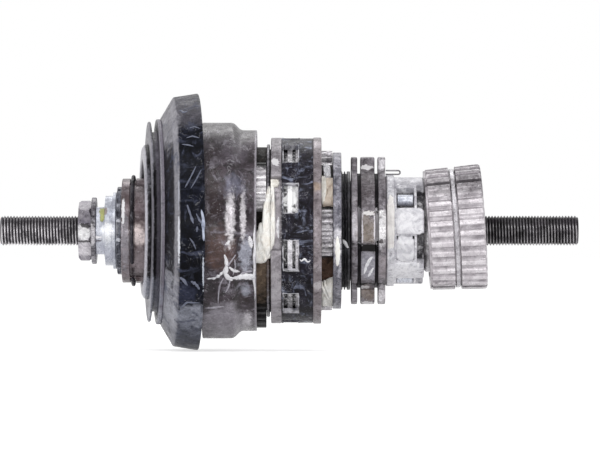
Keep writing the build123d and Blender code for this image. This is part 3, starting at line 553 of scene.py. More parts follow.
def greased_steel(name, deep, plain, light, metallic=0.6, rough=0.38, spec=0.3, mottle=7, smear="C9C7CC",
                  amount=0.5, size=2.4, lean=35, curls=0.3, deeps=0.5, zones=(), dabs=(), bands=(),
                  hollow_shade=None, place=None, marks=0.015, grain=0.012, over=None):
    """Machined or sintered steel as it comes out of a used hub. Two tones lie in clouds with deeper
    stains between them. Zones (x, z, half width, half height, colour, strength) and bands (from, to,
    colour, strength along the axle) tint it with stains and with painted highlights and shade, and a
    painted shade (colour, full up to, none from) darkens what lies near the axis. Wiped smears run one
    way and across it, thin curls and specks lie over them, dabs (as zones) are thicker grease or
    painted highlights and shade, and over gives one more factor and colour and how greasy that is,
    for grease or painted light and shade. Marks and grain are the depths of the turning lines and of
    the surface's grain."""
    f = Finish(name)
    fine = 0.4    # strength of the smallest light and dark spots
    cloud = f.noise(mottle, detail=6, rough=0.62, twist=0.8)
    body = f.mix(f.ramp(cloud, 0.38, 0.62), colour(plain), colour(light))
    stain = f.noise(mottle * 0.42, detail=6, rough=0.66, twist=1.1, shift=2)
    body = f.mix(f.ramp(stain, 0.62 - 0.22 * deeps, 0.76 - 0.18 * deeps, 0.0, 0.9), body, colour(deep))
    # Bands are tints along the axle, and painted highlights on rims where a finish lists them.
    if bands:
        station = f.math("ADD", f.parts(place)[0], f.stray(stain, 0.8))
        for low, high, tone, strength in bands:
            body = f.mix(f.times(f.band(station, low, high), strength), body, colour(tone))
    # Painted shade: darker towards the axis, on pocket floors and in grooves.
    if hollow_shade:
        tone, full, none = hollow_shade
        reach = f.math("ADD", f.distance(place), f.stray(f.noise(2.5, detail=5, shift=3), 0.9))
        body = f.mix(f.ramp(reach, full, none, 0.95, 0.0), body, colour(tone))
    # Zones are stains, and painted highlights, shade and reflection where a finish lists them.
    for number, (x, z, half_x, half_z, tone, strength) in enumerate(zones):
        zone = f.times(f.patch(x, z, half_x, half_z, 0.6, number + 20, 0.4), strength)
        body = f.mix(f.times(zone, f.ramp(stain, 0.3, 0.55, 1.0, 0.55)), body, colour(tone))
    spots = f.noise(1.3, detail=5, rough=0.7, twist=0.4, shift=16)
    body = f.mix(f.ramp(spots, 0.5, 0.68, 0.0, fine), body, colour(deep))
    body = f.mix(f.ramp(spots, 0.32, 0.5, fine, 0.0), body, colour(light))
    low = 0.62 - 0.16 * amount
    along = f.ramp(f.noise(size, (1, 0.6, 0.35), 5, 0.62, 1.0, 5, (0, lean, 0)), low, low + 0.13)
    across = f.ramp(f.noise(size * 1.3, (0.4, 0.6, 1), 5, 0.62, 1.4, 6, (0, lean - 25, 0)), low, low + 0.12)
    where = f.ramp(f.noise(size * 3.4, detail=3, twist=0.6, shift=7), 0.42, 0.58)
    wiped = f.most(f.times(along, where), f.times(across, f.math("SUBTRACT", 1.0, where)))
    thin = f.ramp(f.noise(0.9, detail=3, shift=15), 0.25, 0.6, 0.35, 1.0)
    wiped = f.times(wiped, thin, min(1.0, amount * 1.5))
    body = f.mix(f.times(wiped, 0.85), body, colour(smear))
    curl = f.vein(f.noise(size * 1.7, detail=2, twist=2.6, shift=8), 0.5, 0.022)
    dots = f.ramp(f.noise(0.8, detail=2, shift=9), 0.68, 0.74)
    dots = f.times(dots, f.ramp(f.noise(6, shift=10), 0.45, 0.6))
    film = f.times(f.most(f.times(curl, f.ramp(cloud, 0.48, 0.6)), dots), curls)
    body = f.mix(film, body, colour("E4E4EA"))
    coat = f.most(film, f.times(wiped, 0.5))
    # Over adds grease, painted highlights or painted shade, as a finish gives it.
    if over:
        factor, tone, greasy = over(f)
        body = f.mix(factor, body, colour(tone))
        coat = f.most(coat, f.times(factor, greasy))
    # Dabs are thicker grease, and painted highlights or painted shade where a finish lists them.
    for number, (x, z, half_x, half_z, tone, strength) in enumerate(dabs):
        dab = f.times(f.patch(x, z, half_x, half_z, 0.6, number, 0.12), strength)
        body = f.mix(dab, body, colour(tone))
        coat = f.most(coat, dab)
    f.set(Base_Color=body, Specular_IOR_Level=spec)
    f.set(Metallic=f.math("MULTIPLY", f.math("SUBTRACT", 1.0, coat), metallic))
    gloss = f.noise(mottle * 0.5, detail=6, rough=0.7, twist=0.3, shift=11)
    f.set(Roughness=f.ramp(gloss, 0.3, 0.7, rough - 0.12, rough + 0.16))
    turned = f.noise(0.55, (1, 0.04, 0.04), 3, 0.5, 0.0, 12)
    f.height((turned, marks), (f.noise(0.35, detail=3, shift=13), grain), (coat, 0.1))
    return f.material


def thick_grease(name, tone, shade, stain, rough=0.34):
    """Whipped grease: cream with cloudy shade and dirty streaks in it, soft folds and a wet gloss."""
    f = Finish(name)
    cloudy = f.ramp(f.noise(3.2, detail=5, twist=1.0), 0.4, 0.66)
    body = f.mix(f.times(cloudy, 0.7), colour(tone), colour(shade))
    dirty = f.ramp(f.noise(1.8, detail=6, rough=0.66, twist=1.2, shift=5), 0.55, 0.68)
    f.set(Base_Color=f.mix(f.times(dirty, 0.55), body, colour(stain)))
    f.set(Roughness=f.ramp(f.noise(1.5, shift=2), 0.3, 0.7, rough - 0.08, rough + 0.18))
    folds = f.noise(1.6, (1, 1, 0.8), 5, 0.6, 1.2, 3)
    f.height((folds, 0.28), (f.noise(0.6, shift=4), 0.05))
    return f.material


thread_r = 4.7625                  # 3/8 inch, over the crests


def threaded_steel():
    """Oiled black thread: the tone follows the distance from the axis, with wear and a painted
    highlight bright on the crests of the lower half, more so at the drive end."""
    f = Finish("threaded_steel")
    x, _, z = f.parts()
    # Wear and a painted highlight on the crests, fading upwards and towards the brake end.
    crest_wear_and_light = f.ramp(f.noise(4, (1, 1, 1), 6, 0.65, 0.5), 0.34, 0.6, 0.15, 1.0)
    crest_wear_and_light = f.times(crest_wear_and_light, f.ramp(z, 0.8, 2.8, 1.0, 0.25), f.ramp(x, 0.0, 100.0, 1.0, 0.45))
    crest = f.times(f.ramp(f.distance(), thread_r - 0.42, thread_r - 0.08), crest_wear_and_light)
    oily = f.mix(f.ramp(f.noise(9, shift=2), 0.4, 0.6), colour("1B181B"), colour("343035"))
    base = f.mix(f.ramp(x, 0.0, 60.0, 0.35, 0.0), oily, colour("6A666C"))
    f.set(Base_Color=f.mix(crest, base, colour("EAE7EA")), Metallic=0.6, Specular_IOR_Level=0.3)
    f.set(Roughness=f.ramp(f.noise(1.5), 0.3, 0.7, 0.26, 0.46))
    f.height((f.noise(0.6, (0.3, 1, 1), 4), 0.03))
    return f.material


drum_core_r = 27.95
window_first, window_turn, window_half = 20.5, 36, 9.5
window_from, window_width = 0.6, 4.6


def window_edge_grease_and_highlight(f):
    """White grease and a painted highlight round the clutch windows' edges: a rim by the distance from the nearest
    window's edge.
    """
    start = span("clutch_cage")[0] + window_from
    x, y, z = f.parts()
    angle = f.math("MULTIPLY", f.math("ARCTAN2", z, f.math("MULTIPLY", y, -1.0)), math.degrees(1))
    turned = f.math("MODULO", f.math("ADD", angle, 360 + window_turn / 2 - window_first), window_turn)
    off_turn = f.math("ABSOLUTE", f.math("SUBTRACT", turned, window_turn / 2))
    beside = f.math("MULTIPLY", f.math("SUBTRACT", off_turn, window_half), math.radians(drum_core_r))
    off_x = f.math("ABSOLUTE", f.math("SUBTRACT", x, start + window_width / 2))
    outside = f.most(beside, f.math("SUBTRACT", off_x, window_width / 2))
    within, beyond = -0.4, 0.26
    rim = f.band(f.math("ADD", outside, f.stray(f.noise(1.6, shift=30), 0.8)), within, beyond, 0.12)
    return f.times(rim, f.ramp(f.noise(5, shift=31), 0.42, 0.56, 0.15, 0.95)), "D5D4DA", 1.0


shoe_width, shoe_front_r, shoe_back_r = 18.1, 19.15, 20.0


def groove_shade(f):
    """Painted shade in the shoes' axial grooves: how deep a point lies under the tapered outside."""
    x = f.parts(shoe_place)[0]
    rise = (shoe_back_r - shoe_front_r) / shoe_width
    middle_r = (shoe_front_r + shoe_back_r) / 2
    outside = f.math("ADD", f.math("MULTIPLY", f.math("SUBTRACT", x, shoe_middle), rise), middle_r)
    depth = f.math("SUBTRACT", outside, f.distance(shoe_place))
    uneven = f.ramp(f.noise(3, shift=32), 0.3, 0.6, 0.85, 0.35)
    top, floor = 0.22, 0.95
    return f.times(f.band(depth, top, floor, 0.16), uneven), "7C767C", 0.0


def lug_cleft_shadow(f):
    """Painted shadow, black in a wide cleft across the cam ring and along a thin line across all the
    lugged rings, on the viewer's side."""
    wide_low, wide_high, cam_from, cam_end = -6.5, -4.3, 89.4, 94.3
    thin_low, thin_high = -17.3, -16.5
    x, y, z = f.parts()
    level = f.math("ADD", z, f.stray(f.noise(1.2, shift=34), 0.5))
    cleft = f.times(f.band(level, wide_low, wide_high, 0.1), f.band(x, cam_from, cam_end, 0.05))
    line = f.times(f.band(level, thin_low, thin_high, 0.12), f.ramp(f.noise(1.6, shift=35), 0.4, 0.55))
    return f.times(f.most(cleft, line), f.facing(y)), "060405", 0.0


def neck_painted_shade(f):
    """Painted shade, black over the carrier's grooved neck."""
    neck_from, neck_end = 83.4, 86.5
    uneven = f.ramp(f.noise(1.2, (1, 1, 0.3), shift=33), 0.35, 0.7, 0.97, 0.7)
    return f.times(f.band(f.parts()[0], neck_from, neck_end, 0.05), uneven), "100E12", 0.0


# Stations and radii of the loose cup, along and round its own axis
cup_front = cup_centre[0] - 9.0    # the dust cap's face
cup_seal_from = cup_centre[0] - 7.1
cup_corner = cup_centre[0] + 0.9   # between the cup's slope and its rim
cup_corner_r, cup_rim_r, cup_rim_wide = 39.7, 40.95, 7.9

marked_x, marked_z = 7.7, 5.1      # a dab of paint on the cone

# Slots' finishes, then those of single nodes
finishes = {
    "axle_steel": threaded_steel(),
    # The nut's two pale zones are painted highlights on the facets that face the lamps.
    "nut_steel": greased_steel(
        "nut_steel", "46434A", "696570", "88848A", rough=0.3, mottle=5, smear="C9C6C9", amount=0.3,
        deeps=0.3,
        zones=[(1.6, -0.8, 2.2, 2.8, "FFFFFF", 0.95), (2.2, -6.3, 2.8, 3.0, "DDD9DE", 0.95)],
        dabs=[(2.4, 1.6, 1.8, 0.8, "1E1A1E", 0.85), (2.0, -3.4, 3.0, 0.3, "3A363A", 0.8)]),
    "black_steel": greased_steel(
        "black_steel", "08070A", "171519", "3C3940", metallic=0.1, rough=0.42, spec=0.12, mottle=5,
        smear="9A98A0", amount=0.35, size=2.0, curls=0.2),
    # The cone's white zone is a painted highlight, and the pale and dark dabs low on the nose are a painted
    # highlight and painted shade under it; the yellow dab is paint.
    "cone_steel": greased_steel(
        "cone_steel", "70737F", "A2A5B0", "C6C9D2", metallic=0.45, rough=0.32, mottle=4, smear="D9DBE2",
        size=2.0, deeps=0.4,
        zones=[(9.5, -0.5, 2.2, 3.2, "FFFFFF", 0.9), (8.0, -7.0, 4.0, 3.0, "BDBECB", 0.6)],
        dabs=[(marked_x, marked_z, 0.95, 2.2, "A3A53A", 0.75),
              (marked_x + 1.1, marked_z + 1.2, 0.5, 1.4, "7A5B40", 0.6),
              (6.4, -2.1, 1.6, 0.42, "F4F2F6", 0.95), (6.4, -3.2, 1.6, 0.22, "5A5058", 0.8)]),
    # The driver's pale zone at mid height is a painted highlight, the dark zone above it painted shade, the pale
    # zones high and low painted reflection, and the white dab a painted highlight on the lip.
    "driver_steel": greased_steel(
        "driver_steel", "2A2022", "524648", "786E72", metallic=0.5, rough=0.3, mottle=6, smear="9A9095",
        amount=0.4, lean=10,
        zones=[(19.6, -1.6, 2.8, 3.8, "E8DAD8", 0.9), (19.5, 6.5, 2.4, 3.0, "33232A", 0.7),
               (19.8, 13.0, 2.4, 2.6, "8B8285", 0.6), (20.0, -9.5, 2.8, 4.6, "9C9296", 0.8),
               (15.2, -4.0, 1.5, 9.0, "9C9BA3", 0.8)],
        dabs=[(14.6, 6.0, 0.55, 4.4, "F2F1F4", 0.9)]),
    "ball_steel": greased_steel(
        "ball_steel", "8A8A90", "B5B5BA", "D5D5DA", metallic=0.85, rough=0.2, spec=0.4, mottle=4,
        amount=0.1, marks=0.0),
    # The two black dabs over the planets' teeth are painted shade deep in the gap above and below.
    "gear_steel": greased_steel(
        "gear_steel", "3E3A3E", "A5A1A7", "DAD7DB", metallic=0.4, rough=0.32, mottle=2.0, smear="EDEBE9",
        amount=0.6, size=1.3,
        zones=[(58.5, 13.0, 3.0, 7.0, "F4F2F4", 0.8)],
        dabs=[(58.5, -27.4, 3.8, 6.2, "060506", 0.9), (58.5, 26.0, 5.0, 7.4, "0C0A0C", 1.0)]),
    "bush_bronze": greased_steel(
        "bush_bronze", "4A3216", "7A5A2C", "A07F48", metallic=0.8, amount=0.2),
    # The cup is painted with light and shade: the pale band at the corner of slope and rim and the pale dabs along
    # it and the rim are painted highlights, the pale zones high and low are painted reflection, and the black
    # zones on the slope and rim at mid height are painted shade.
    "cup_steel": greased_steel(
        "cup_steel", "020305", "08090F", "181A26", metallic=0.0, rough=0.34, spec=0.06, smear="484C5E",
        amount=0.58, size=3.4, curls=0.16, deeps=0.6, place=cup_place,
        bands=[(0.0, cup_corner - 0.2, "2A282D", 0.85),
               (cup_corner - 1.4, cup_corner + 0.1, "ABA9B1", 0.75)],
        zones=[(34, 38, 9, 5.5, "6C6972", 0.8), (36, -27.0, 9, 4.4, "B5B8C6", 0.85),
               (36, -35.0, 9, 5.0, "767988", 0.75), (33.4, -19.5, 4.5, 3.4, "41455A", 0.8),
               (28.4, 4.0, 2.0, 12.5, "050405", 0.95), (28.5, 33.0, 3.6, 7.0, "C0BEC6", 0.85),
               (28.6, -23.0, 3.2, 10.5, "C4C4CE", 0.95), (36.5, -9.0, 4.5, 7.5, "040304", 0.9)],
        dabs=[(32.75, -2.8, 0.4, 8.3, "E4E6EE", 0.95), (32.7, 12.0, 0.3, 6.0, "B4B6C0", 0.85),
              (40.3, -13.0, 0.3, 5.6, "C9CEDA", 0.85)]),
    # The seal's two thin pale bands are painted highlights on its rims, and its pale zones low and high are
    # painted reflection.
    "seal_dark": greased_steel(
        "seal_dark", "020203", "08070A", "1A181D", metallic=0.0, rough=0.36, spec=0.08, mottle=5,
        smear="7D7B84", amount=0.35, size=2.0, lean=10, curls=0.15, place=cup_place,
        bands=[(cup_front + 1.7, cup_front + 2.2, "908E98", 0.8),
               (cup_front + 3.4, cup_front + 4.5, "706B78", 0.85),
               (cup_front + 4.5, cup_front + 4.9, "B5B4BD", 0.75),
               (cup_front + 4.9, cup_front + 6.0, "8A8591", 0.85)],
        zones=[(24.6, -19.5, 3.0, 4.6, "A9ACBA", 0.8), (25.0, -27.5, 3.4, 4.0, "D5D7E2", 0.85),
               (23.4, 24.0, 2.4, 5.0, "A5A4AE", 0.7)]),
    # On the housing, the pale band is a painted highlight on the mouth's edge; the two white zones at mid height,
    # the grey-blue zone above them and the white zone low at the mouth are painted highlights, and the pale zone
    # along the bottom is painted reflection.
    "housing_steel": greased_steel(
        "housing_steel", "0E090B", "241A20", "473E46", metallic=0.15, rough=0.28, spec=0.32, mottle=6,
        smear="8B8590", size=3.0, lean=10, deeps=0.7,
        bands=[(56.15, 57.2, "A9A4AC", 0.75)],
        zones=[(48, 32, 12, 6.0, "252127", 0.85), (43.2, 9, 2.8, 14, "241010", 0.95),
               (45.5, -5, 5, 6.5, "5D443C", 0.9), (48.6, 4.4, 1.5, 8.2, "FFFAFF", 0.98),
               (52.6, 4.6, 0.9, 7.4, "FFFAFF", 0.95), (53.4, -8, 2.0, 5.6, "BEC1D0", 0.9),
               (53.2, -18.4, 2.0, 1.9, "B6B9C8", 0.9), (51.5, -21.8, 5.0, 1.2, "1C0C0F", 1.0),
               (47, -29.5, 10, 6.0, "B0ABB5", 0.9), (42.6, -17.8, 1.8, 2.4, "0C090B", 0.95),
               (53.6, -28.3, 1.4, 2.6, "F4F0F6", 0.9), (50.0, 14.5, 3.0, 4.0, "7C7D90", 0.75),
               (49.5, 25, 4.5, 5, "5E5761", 0.6)]),
    "carrier_steel": greased_steel(
        "carrier_steel", "030202", "0D0A09", "1E1714", metallic=0.0, rough=0.5, spec=0.05, mottle=4,
        smear="5F564E", amount=0.3, size=2.0, lean=20, curls=0.15, deeps=0.6, grain=0.03,
        zones=[(58.0, -15.2, 4.5, 6.6, "93806F", 1.0), (79.3, -13.2, 2.8, 4.2, "6E564A", 1.0)]),
    "drum_steel": greased_steel(
        "drum_steel", "4F4A4E", "7F7A7F", "A19CA1", metallic=0.4, mottle=5, smear="C5C1C5", amount=0.4,
        size=2.0,
        zones=[(62.6, 26.5, 2.2, 4.6, "4E4A4E", 0.8), (62.6, -20.0, 2.0, 7.0, "ABA6AC", 0.7)],
        dabs=[(62.6, 21.6, 1.4, 1.2, "E5E3E6", 0.85)]),
    # The cage's over puts white grease and a painted highlight round the windows' edges.
    "cage_black": greased_steel(
        "cage_black", "040306", "130F15", "2C2A36", metallic=0.0, rough=0.34, spec=0.1, mottle=5,
        smear="8A90A6", amount=0.6, lean=50, curls=0.35, deeps=0.6, over=window_edge_grease_and_highlight,
        zones=[(69.0, -16.6, 6.0, 3.4, "08070A", 0.85)]),
    # On the lugged rings, the over adds painted shadow in the cleft and along a thin line, and the white dab 5.5
    # mm up on the cam ring is a painted highlight on a lug's edge.
    "lug_steel": greased_steel(
        "lug_steel", "1A171A", "575257", "868187", metallic=0.3, spec=0.25, mottle=2.6, smear="C4C0C5",
        amount=0.35, size=1.6, lean=80, curls=0.15, grain=0.03, over=lug_cleft_shadow,
        zones=[(91.8, 13.5, 3.2, 7.0, "463E40", 0.85), (91.8, 0.5, 3.2, 4.8, "85796A", 0.85),
               (91.8, -11.3, 3.2, 4.8, "B6B5C0", 0.9), (91.8, -20.0, 3.2, 2.4, "85776A", 0.8),
               (96.3, 1.4, 1.8, 5.8, "FFFDFE", 1.0), (87.6, 1.6, 1.5, 4.8, "D5D1D7", 0.9),
               (96.3, 21.0, 1.6, 2.4, "EFECF0", 0.9), (96.3, -11.0, 1.6, 4.4, "B5ACB0", 0.75),
               (96.3, -20.4, 1.6, 3.0, "EFECF0", 0.85), (87.6, 14.0, 1.4, 6.0, "8E8990", 0.7),
               (87.6, 22.0, 1.4, 1.6, "3A363A", 0.8), (87.6, -20.0, 1.4, 2.6, "A9A5AB", 0.7)],
        dabs=[(91.8, 20.2, 2.2, 0.8, "E4E2E4", 0.9), (91.8, 5.5, 2.0, 0.7, "E9E6E6", 0.85),
              (90.0, 0.6, 0.3, 5.0, "D5D2D8", 0.8), (93.8, 0.6, 0.3, 5.0, "E4E1E6", 0.85),
              (91.0, -17.9, 1.6, 0.5, "E9E6E8", 0.8), (91.8, -22.9, 2.0, 0.6, "E9E6E8", 0.8),
              (96.0, -3.4, 0.7, 0.7, "3A3336", 0.85)]),
    # The roller cage darkens near the axis: painted shade on its pocket floors.
    "brake_cage_pale": greased_steel(
        "brake_cage_pale", "7E7C84", "B9B8BF", "DAD9DE", metallic=0.15, rough=0.36, mottle=3,
        smear="F0EFF2", amount=0.75, size=2.0, hollow_shade=("2A282C", 14.2, 15.2),
        zones=[(104, 15.5, 5, 3.0, "8A8890", 0.8), (103, -14.0, 7, 5.0, "F4F3F7", 0.65)]),
    "shoe_steel": greased_steel(
        "shoe_steel", "8D878C", "C2BCC1", "DDD8DC", metallic=0.35, rough=0.3, mottle=4, smear="EEEAEE",
        amount=0.4, size=2.0, lean=85, deeps=0.25, over=groove_shade,
        zones=[(120, 17.0, 40, 6.6, "4C464C", 0.95), (120, -18.6, 40, 1.8, "4C464C", 0.9),
               (124.5, 15.5, 4.5, 5.0, "443E44", 0.8)]),
    "spring_steel": greased_steel(
        "spring_steel", "2C2A2D", "5D5A5E", "8C898D", rough=0.34, amount=0.2),
}
own_finish = {
    "cone_dust_cap": greased_steel(
        "cap_steel", "07080C", "2A2B36", "6A6C78", metallic=0.2, rough=0.34, mottle=2.2, smear="B0B2BC",
        amount=0.65, size=1.5, lean=80, curls=0.5,
        dabs=[(13.0, 3.1, 1.2, 0.5, "D0D2DB", 0.9), (13.0, -3.0, 1.2, 0.6, "D0D2DB", 0.9),
              (12.5, 0.2, 0.45, 2.4, "9C9CA3", 0.8)]),
    # The cap's pale band at its front rim is wear and a painted highlight, and its pale zones low and high are
    # painted reflection.
    "cup_dust_cap": greased_steel(
        "dust_cap_steel", "030304", "0D0C0F", "2A282E", metallic=0.0, rough=0.34, spec=0.1, mottle=4,
        smear="8A8892", amount=0.4, size=2.0, lean=80, place=cup_place,
        bands=[(cup_front - 0.3, cup_front + 0.7, "D5D3DC", 0.95),
               (cup_front + 1.2, cup_front + 2.9, "050406", 0.9)],
        zones=[(22.0, -19.0, 2.4, 4.6, "B9BCCA", 0.85), (21.4, 16.0, 2.0, 4.6, "8E8D97", 0.8)]),
    "brake_rollers": greased_steel(
        "roller_steel", "7E8290", "B0B4C0", "DCDEE6", metallic=0.4, rough=0.3, mottle=2.0, smear="E2E3E8",
        amount=0.55, size=1.4, lean=90),
    # The race darkens near the axis as painted shade in its grooves, and its two black zones are painted shade in
    # the upper and lower windows; the white dab is grease.
    "clutch_ring_gear": greased_steel(
        "race_steel", "6A676F", "B5B2B8", "E8E6EA", metallic=0.35, rough=0.32, mottle=2.2, smear="F6F5F7",
        amount=0.6, size=1.6, lean=0, deeps=0.4, hollow_shade=("060507", 27.3, 27.75),
        zones=[(67.6, 23.0, 4.0, 6.0, "1C191D", 0.8), (67.6, -24.5, 4.4, 8.0, "060506", 1.0)],
        dabs=[(67.6, 10.2, 2.4, 4.9, "FFFFFF", 0.95)]),
    # The flange's over is painted shade over the grooved neck.
    "carrier_end_flange": greased_steel(
        "flange_steel", "1A191F", "4E4D57", "85838D", metallic=0.3, rough=0.36, mottle=3, smear="C5C3CC",
        amount=0.55, size=1.8, over=neck_painted_shade,
        zones=[(82.2, -3.8, 1.5, 4.6, "ECE9EE", 0.9)]),
    "carrier_middle_plate": greased_steel(
        "middle_plate_steel", "1A181B", "57545A", "858289", metallic=0.3, mottle=3, smear="B9B6BD",
        amount=0.4, size=1.6,
        zones=[(60.0, -14.0, 3.0, 7.0, "6A5A50", 0.9)]),
    "shoe_spring_ring": greased_steel(
        "band_steel", "6E6B70", "A5A2A7", "CFCCD1", metallic=0.4, rough=0.32, mottle=3, smear="E5E2E6",
        size=1.6, lean=0),
    # The washer's pale zone at mid height is a painted highlight.
    "lock_washer": greased_steel(
        "washer_steel", "08070A", "2A282C", "6A676E", metallic=0.3, rough=0.36, mottle=2.4, smear="A9A7AE",
        size=1.4, lean=80, curls=0.2,
        zones=[(4.8, -1.0, 1.2, 3.4, "E6E3E8", 0.9), (4.8, -9.6, 1.2, 2.0, "C9C6CC", 0.8),
               (4.8, 9.8, 1.2, 1.6, "B5B2B8", 0.7)]),
    "lug_spacers": greased_steel(
        "spacer_steel", "050405", "0E0C0F", "1C1A1E", metallic=0.05, rough=0.46, spec=0.1, mottle=4,
        smear="3C3940", amount=0.2, size=2.0, curls=0.0,
        zones=[(94.6, -19.6, 1.2, 2.6, "C5C2C8", 0.9)],
        dabs=[(94.6, 1.4, 1.6, 5.8, "EFECF0", 0.95), (89.1, 1.2, 1.6, 5.8, "B5B2B8", 0.9)]),
    "drum_end_ring": greased_steel(
        "end_ring_steel", "4A4245", "70686B", "8E868A", metallic=0.4, rough=0.34, mottle=4, smear="A9A3A6",
        amount=0.3, lean=0,
        zones=[(75.8, 14.0, 2.0, 1.4, "9A8468", 0.7), (75.8, -17.3, 2.0, 1.4, "D5D1D4", 0.8)]),
}

# Kinds of thick grease: tone, shade, stain and, where it is glossier, roughness
grease_tones = {
    "cream": ("F6F3EC", "D6CFC3", "94857A"),
    "clean": ("EFECEA", "D2CECC", "C2BDBB"),
    "bright": ("FFFEFA", "F4EEE4", "D2C7BA"),
    "tan": ("DACDBF", "B7A28F", "7C6656"),
    "white": ("ECEBEF", "B9B8C0", "8A8890", 0.3),
    "dim": ("A9A5AF", "7E7A84", "56515A", 0.3),
    "blue": ("BCC3D6", "7C849E", "454B60", 0.3),
    "film": ("666B7E", "474C5E", "292C39", 0.3),
}
greases = {kind: thick_grease("grease_" + kind, *tones) for kind, tones in grease_tones.items()}


def paint(piece, finish):
    """The piece wears that finish alone."""
    piece.data.materials.clear()
    piece.data.materials.append(finish)


def finish_of(node):
    """A node's own finish where it has one, else that of its slot."""
    return own_finish.get(node) or finishes[slot_of[node]]


def stands_for(piece, node):
    """The piece takes the place of a CAD node, on its body and in its finish."""
    paint(piece, finish_of(node))
    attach(piece, body_of[node])
    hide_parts(node)
    return piece


def added(piece, body, kind):
    """Some grease of that kind, which has no CAD node, rides on the body that it sticks to."""
    paint(piece, greases[kind])
    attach(piece, body)
    return piece


for node in slot_of:
    paint(frame["nodes"][node], finish_of(node))


# Axle and the drive side
def axle():
    """Threads cut as one helix: along the two threaded lengths the radius falls from crest to root
    as a triangle wave of station less turn; two flats cap it near the brake side end."""
    low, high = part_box("axle")
    start, end = low.x * metre, high.x * metre
    journal = (high.z - low.z) / 2 * metre
    root, pitch, bevel = 4.16, 25.4 / 26, 0.7
    steep, root_flat = 1.3, 0.12
    flat_depth, flat_length, flat_angle = 0.3, 23.9, 32
    plain_from, plain_end = span("drive_cone")[1], span("brake_cone")[0]
    step, abrupt = pitch / 9 * coarse, 0.01
    threads = np.arange(start, plain_from, step), np.arange(plain_end, end, step)
    plain = [plain_from, plain_from + abrupt, plain_end - abrupt]
    xs = np.concatenate([threads[0], plain, threads[1], [end]])
    angles = around(72 // coarse)
    x, a = np.meshgrid(xs, angles, indexing="ij")
    wave = np.abs((x / pitch + a / 360) % 1 - 0.5) * 2
    thread = root + (thread_r - root) * np.clip(wave * steep - root_flat, 0, 1)
    ends = bevel * (1 - np.clip(np.minimum(x - start, end - x) / bevel, 0, 1))
    r = np.minimum(thread, thread_r - ends)
    near = np.abs(np.cos(np.radians(a - flat_angle)))
    flats = (thread_r - flat_depth) / np.maximum(near, 0.3)
    r = np.where(x > end - flat_length, np.minimum(r, flats), r)
    r = np.where((x > plain_from) & (x < plain_end), journal, r)
    tips = [polar(xs[k], 0.0, angles)[None] for k in (0, -1)]
    shell = np.concatenate([tips[0], polar(x, r, a), tips[1]])
    stands_for(solid("axle_threaded", shell, wrap_rows=False, weld=True), "axle")


def drive_locknut():
    """A hexagon whose rims are cut back by a cone, so each flat ends in an arc."""
    x0, x1, _ = span("drive_locknut")
    across_flats, corner, first_corner = 17.0, 9.7, -17.8
    cut_back, cone_slope = 0.8, 1.1

    def radius(x, a):
        """The least of the hexagon, its rounded corners and the cone."""
        hexagon = across_flats / 2 / np.cos(np.radians((a - first_corner) % 60 - 30))
        cone = corner - cut_back + np.minimum(x - x0, x1 - x) * cone_slope
        return np.minimum(np.minimum(hexagon, corner), cone)

    xs = stations(x0, x1, 0.12, 0.2)
    stands_for(skin("locknut", xs, around(360 // coarse), thread_r, radius), "drive_locknut")


def lock_washer():
    """A thin black washer with a serrated rim: a sine of the turn, steepened and clipped."""
    x0, x1, r = span("lock_washer")
    teeth, depth, steep, edge = 20, 0.45, 2.5, 0.3

    def radius(x, a):
        """The washer's radius less its notches."""
        notch = depth * np.clip(np.sin(np.radians(a * teeth)) * steep, 0, 1)
        return r - notch - rim_drop(x, x0, x1, edge)

    xs = stations(x0, x1, 0.3, edge)
    stands_for(skin("lock_washer_serrated", xs, around(240), thread_r, radius), "lock_washer")


def drive_cone():
    """The cone's nose is a circle cut by two flats for a spanner; smooth steps along the axle raise
    the two collars behind it, and the race is turned."""
    x0, x1, flange_r = span("drive_cone")
    nose, step, flange = x0 + 2.8, x0 + 5.3, x0 + 6.5
    nose_r, step_r, race_r, tail_r, flat_half = 9.8, 11.1, 8.25, 6.6, 7.5
    soft, edge, beyond = 0.2, 0.3, flange + 9
    xs = stations(x0, flange, 0.4, edge, (nose, step), soft)
    angles = around(240 // coarse)
    x, a = np.meshgrid(xs, angles, indexing="ij")
    r = np.minimum(nose_r, flat_half / np.maximum(np.abs(np.sin(np.radians(a))), 0.1))
    r = r + (step_r - r) * between(x, nose, beyond, soft)
    r = r + (flange_r - step_r) * between(x, step, beyond, soft)
    r = r - rim_drop(x, x0, flange, edge)
    tail = [(flange, race_r), (x1 - race_r + tail_r, race_r), (x1, tail_r), (x1, thread_r), (x0, thread_r)]
    rest = np.stack([polar(station, behind, angles) for station, behind in tail])
    stands_for(solid("drive_cone_turned", np.concatenate([polar(x, r, a), rest])), "drive_cone")


def cone_dust_cap():
    """A pressed cap with shallow dents in its rim: a clipped cosine of the turn."""
    x0, x1, r = span("cone_dust_cap")
    bore, count, turned, depth, edge = 9.0, 16, 30, 0.4, 0.4

    def radius(x, a):
        """The cap's radius less its dents."""
        rows = between(x, x0 + 0.35, x1 - 0.3, 0.2)
        dents = rows * np.clip(np.cos(np.radians(a * count + turned)) * 2, 0, 1)
        return r - depth * dents - rim_drop(x, x0, x1, edge)

    xs = stations(x0, x1, 0.15, edge)
    stands_for(skin("cone_dust_cap_pressed", xs, around(360 // coarse), bore, radius), "cone_dust_cap")


slot_half, slot_centres = 13, (60, 180, 300)


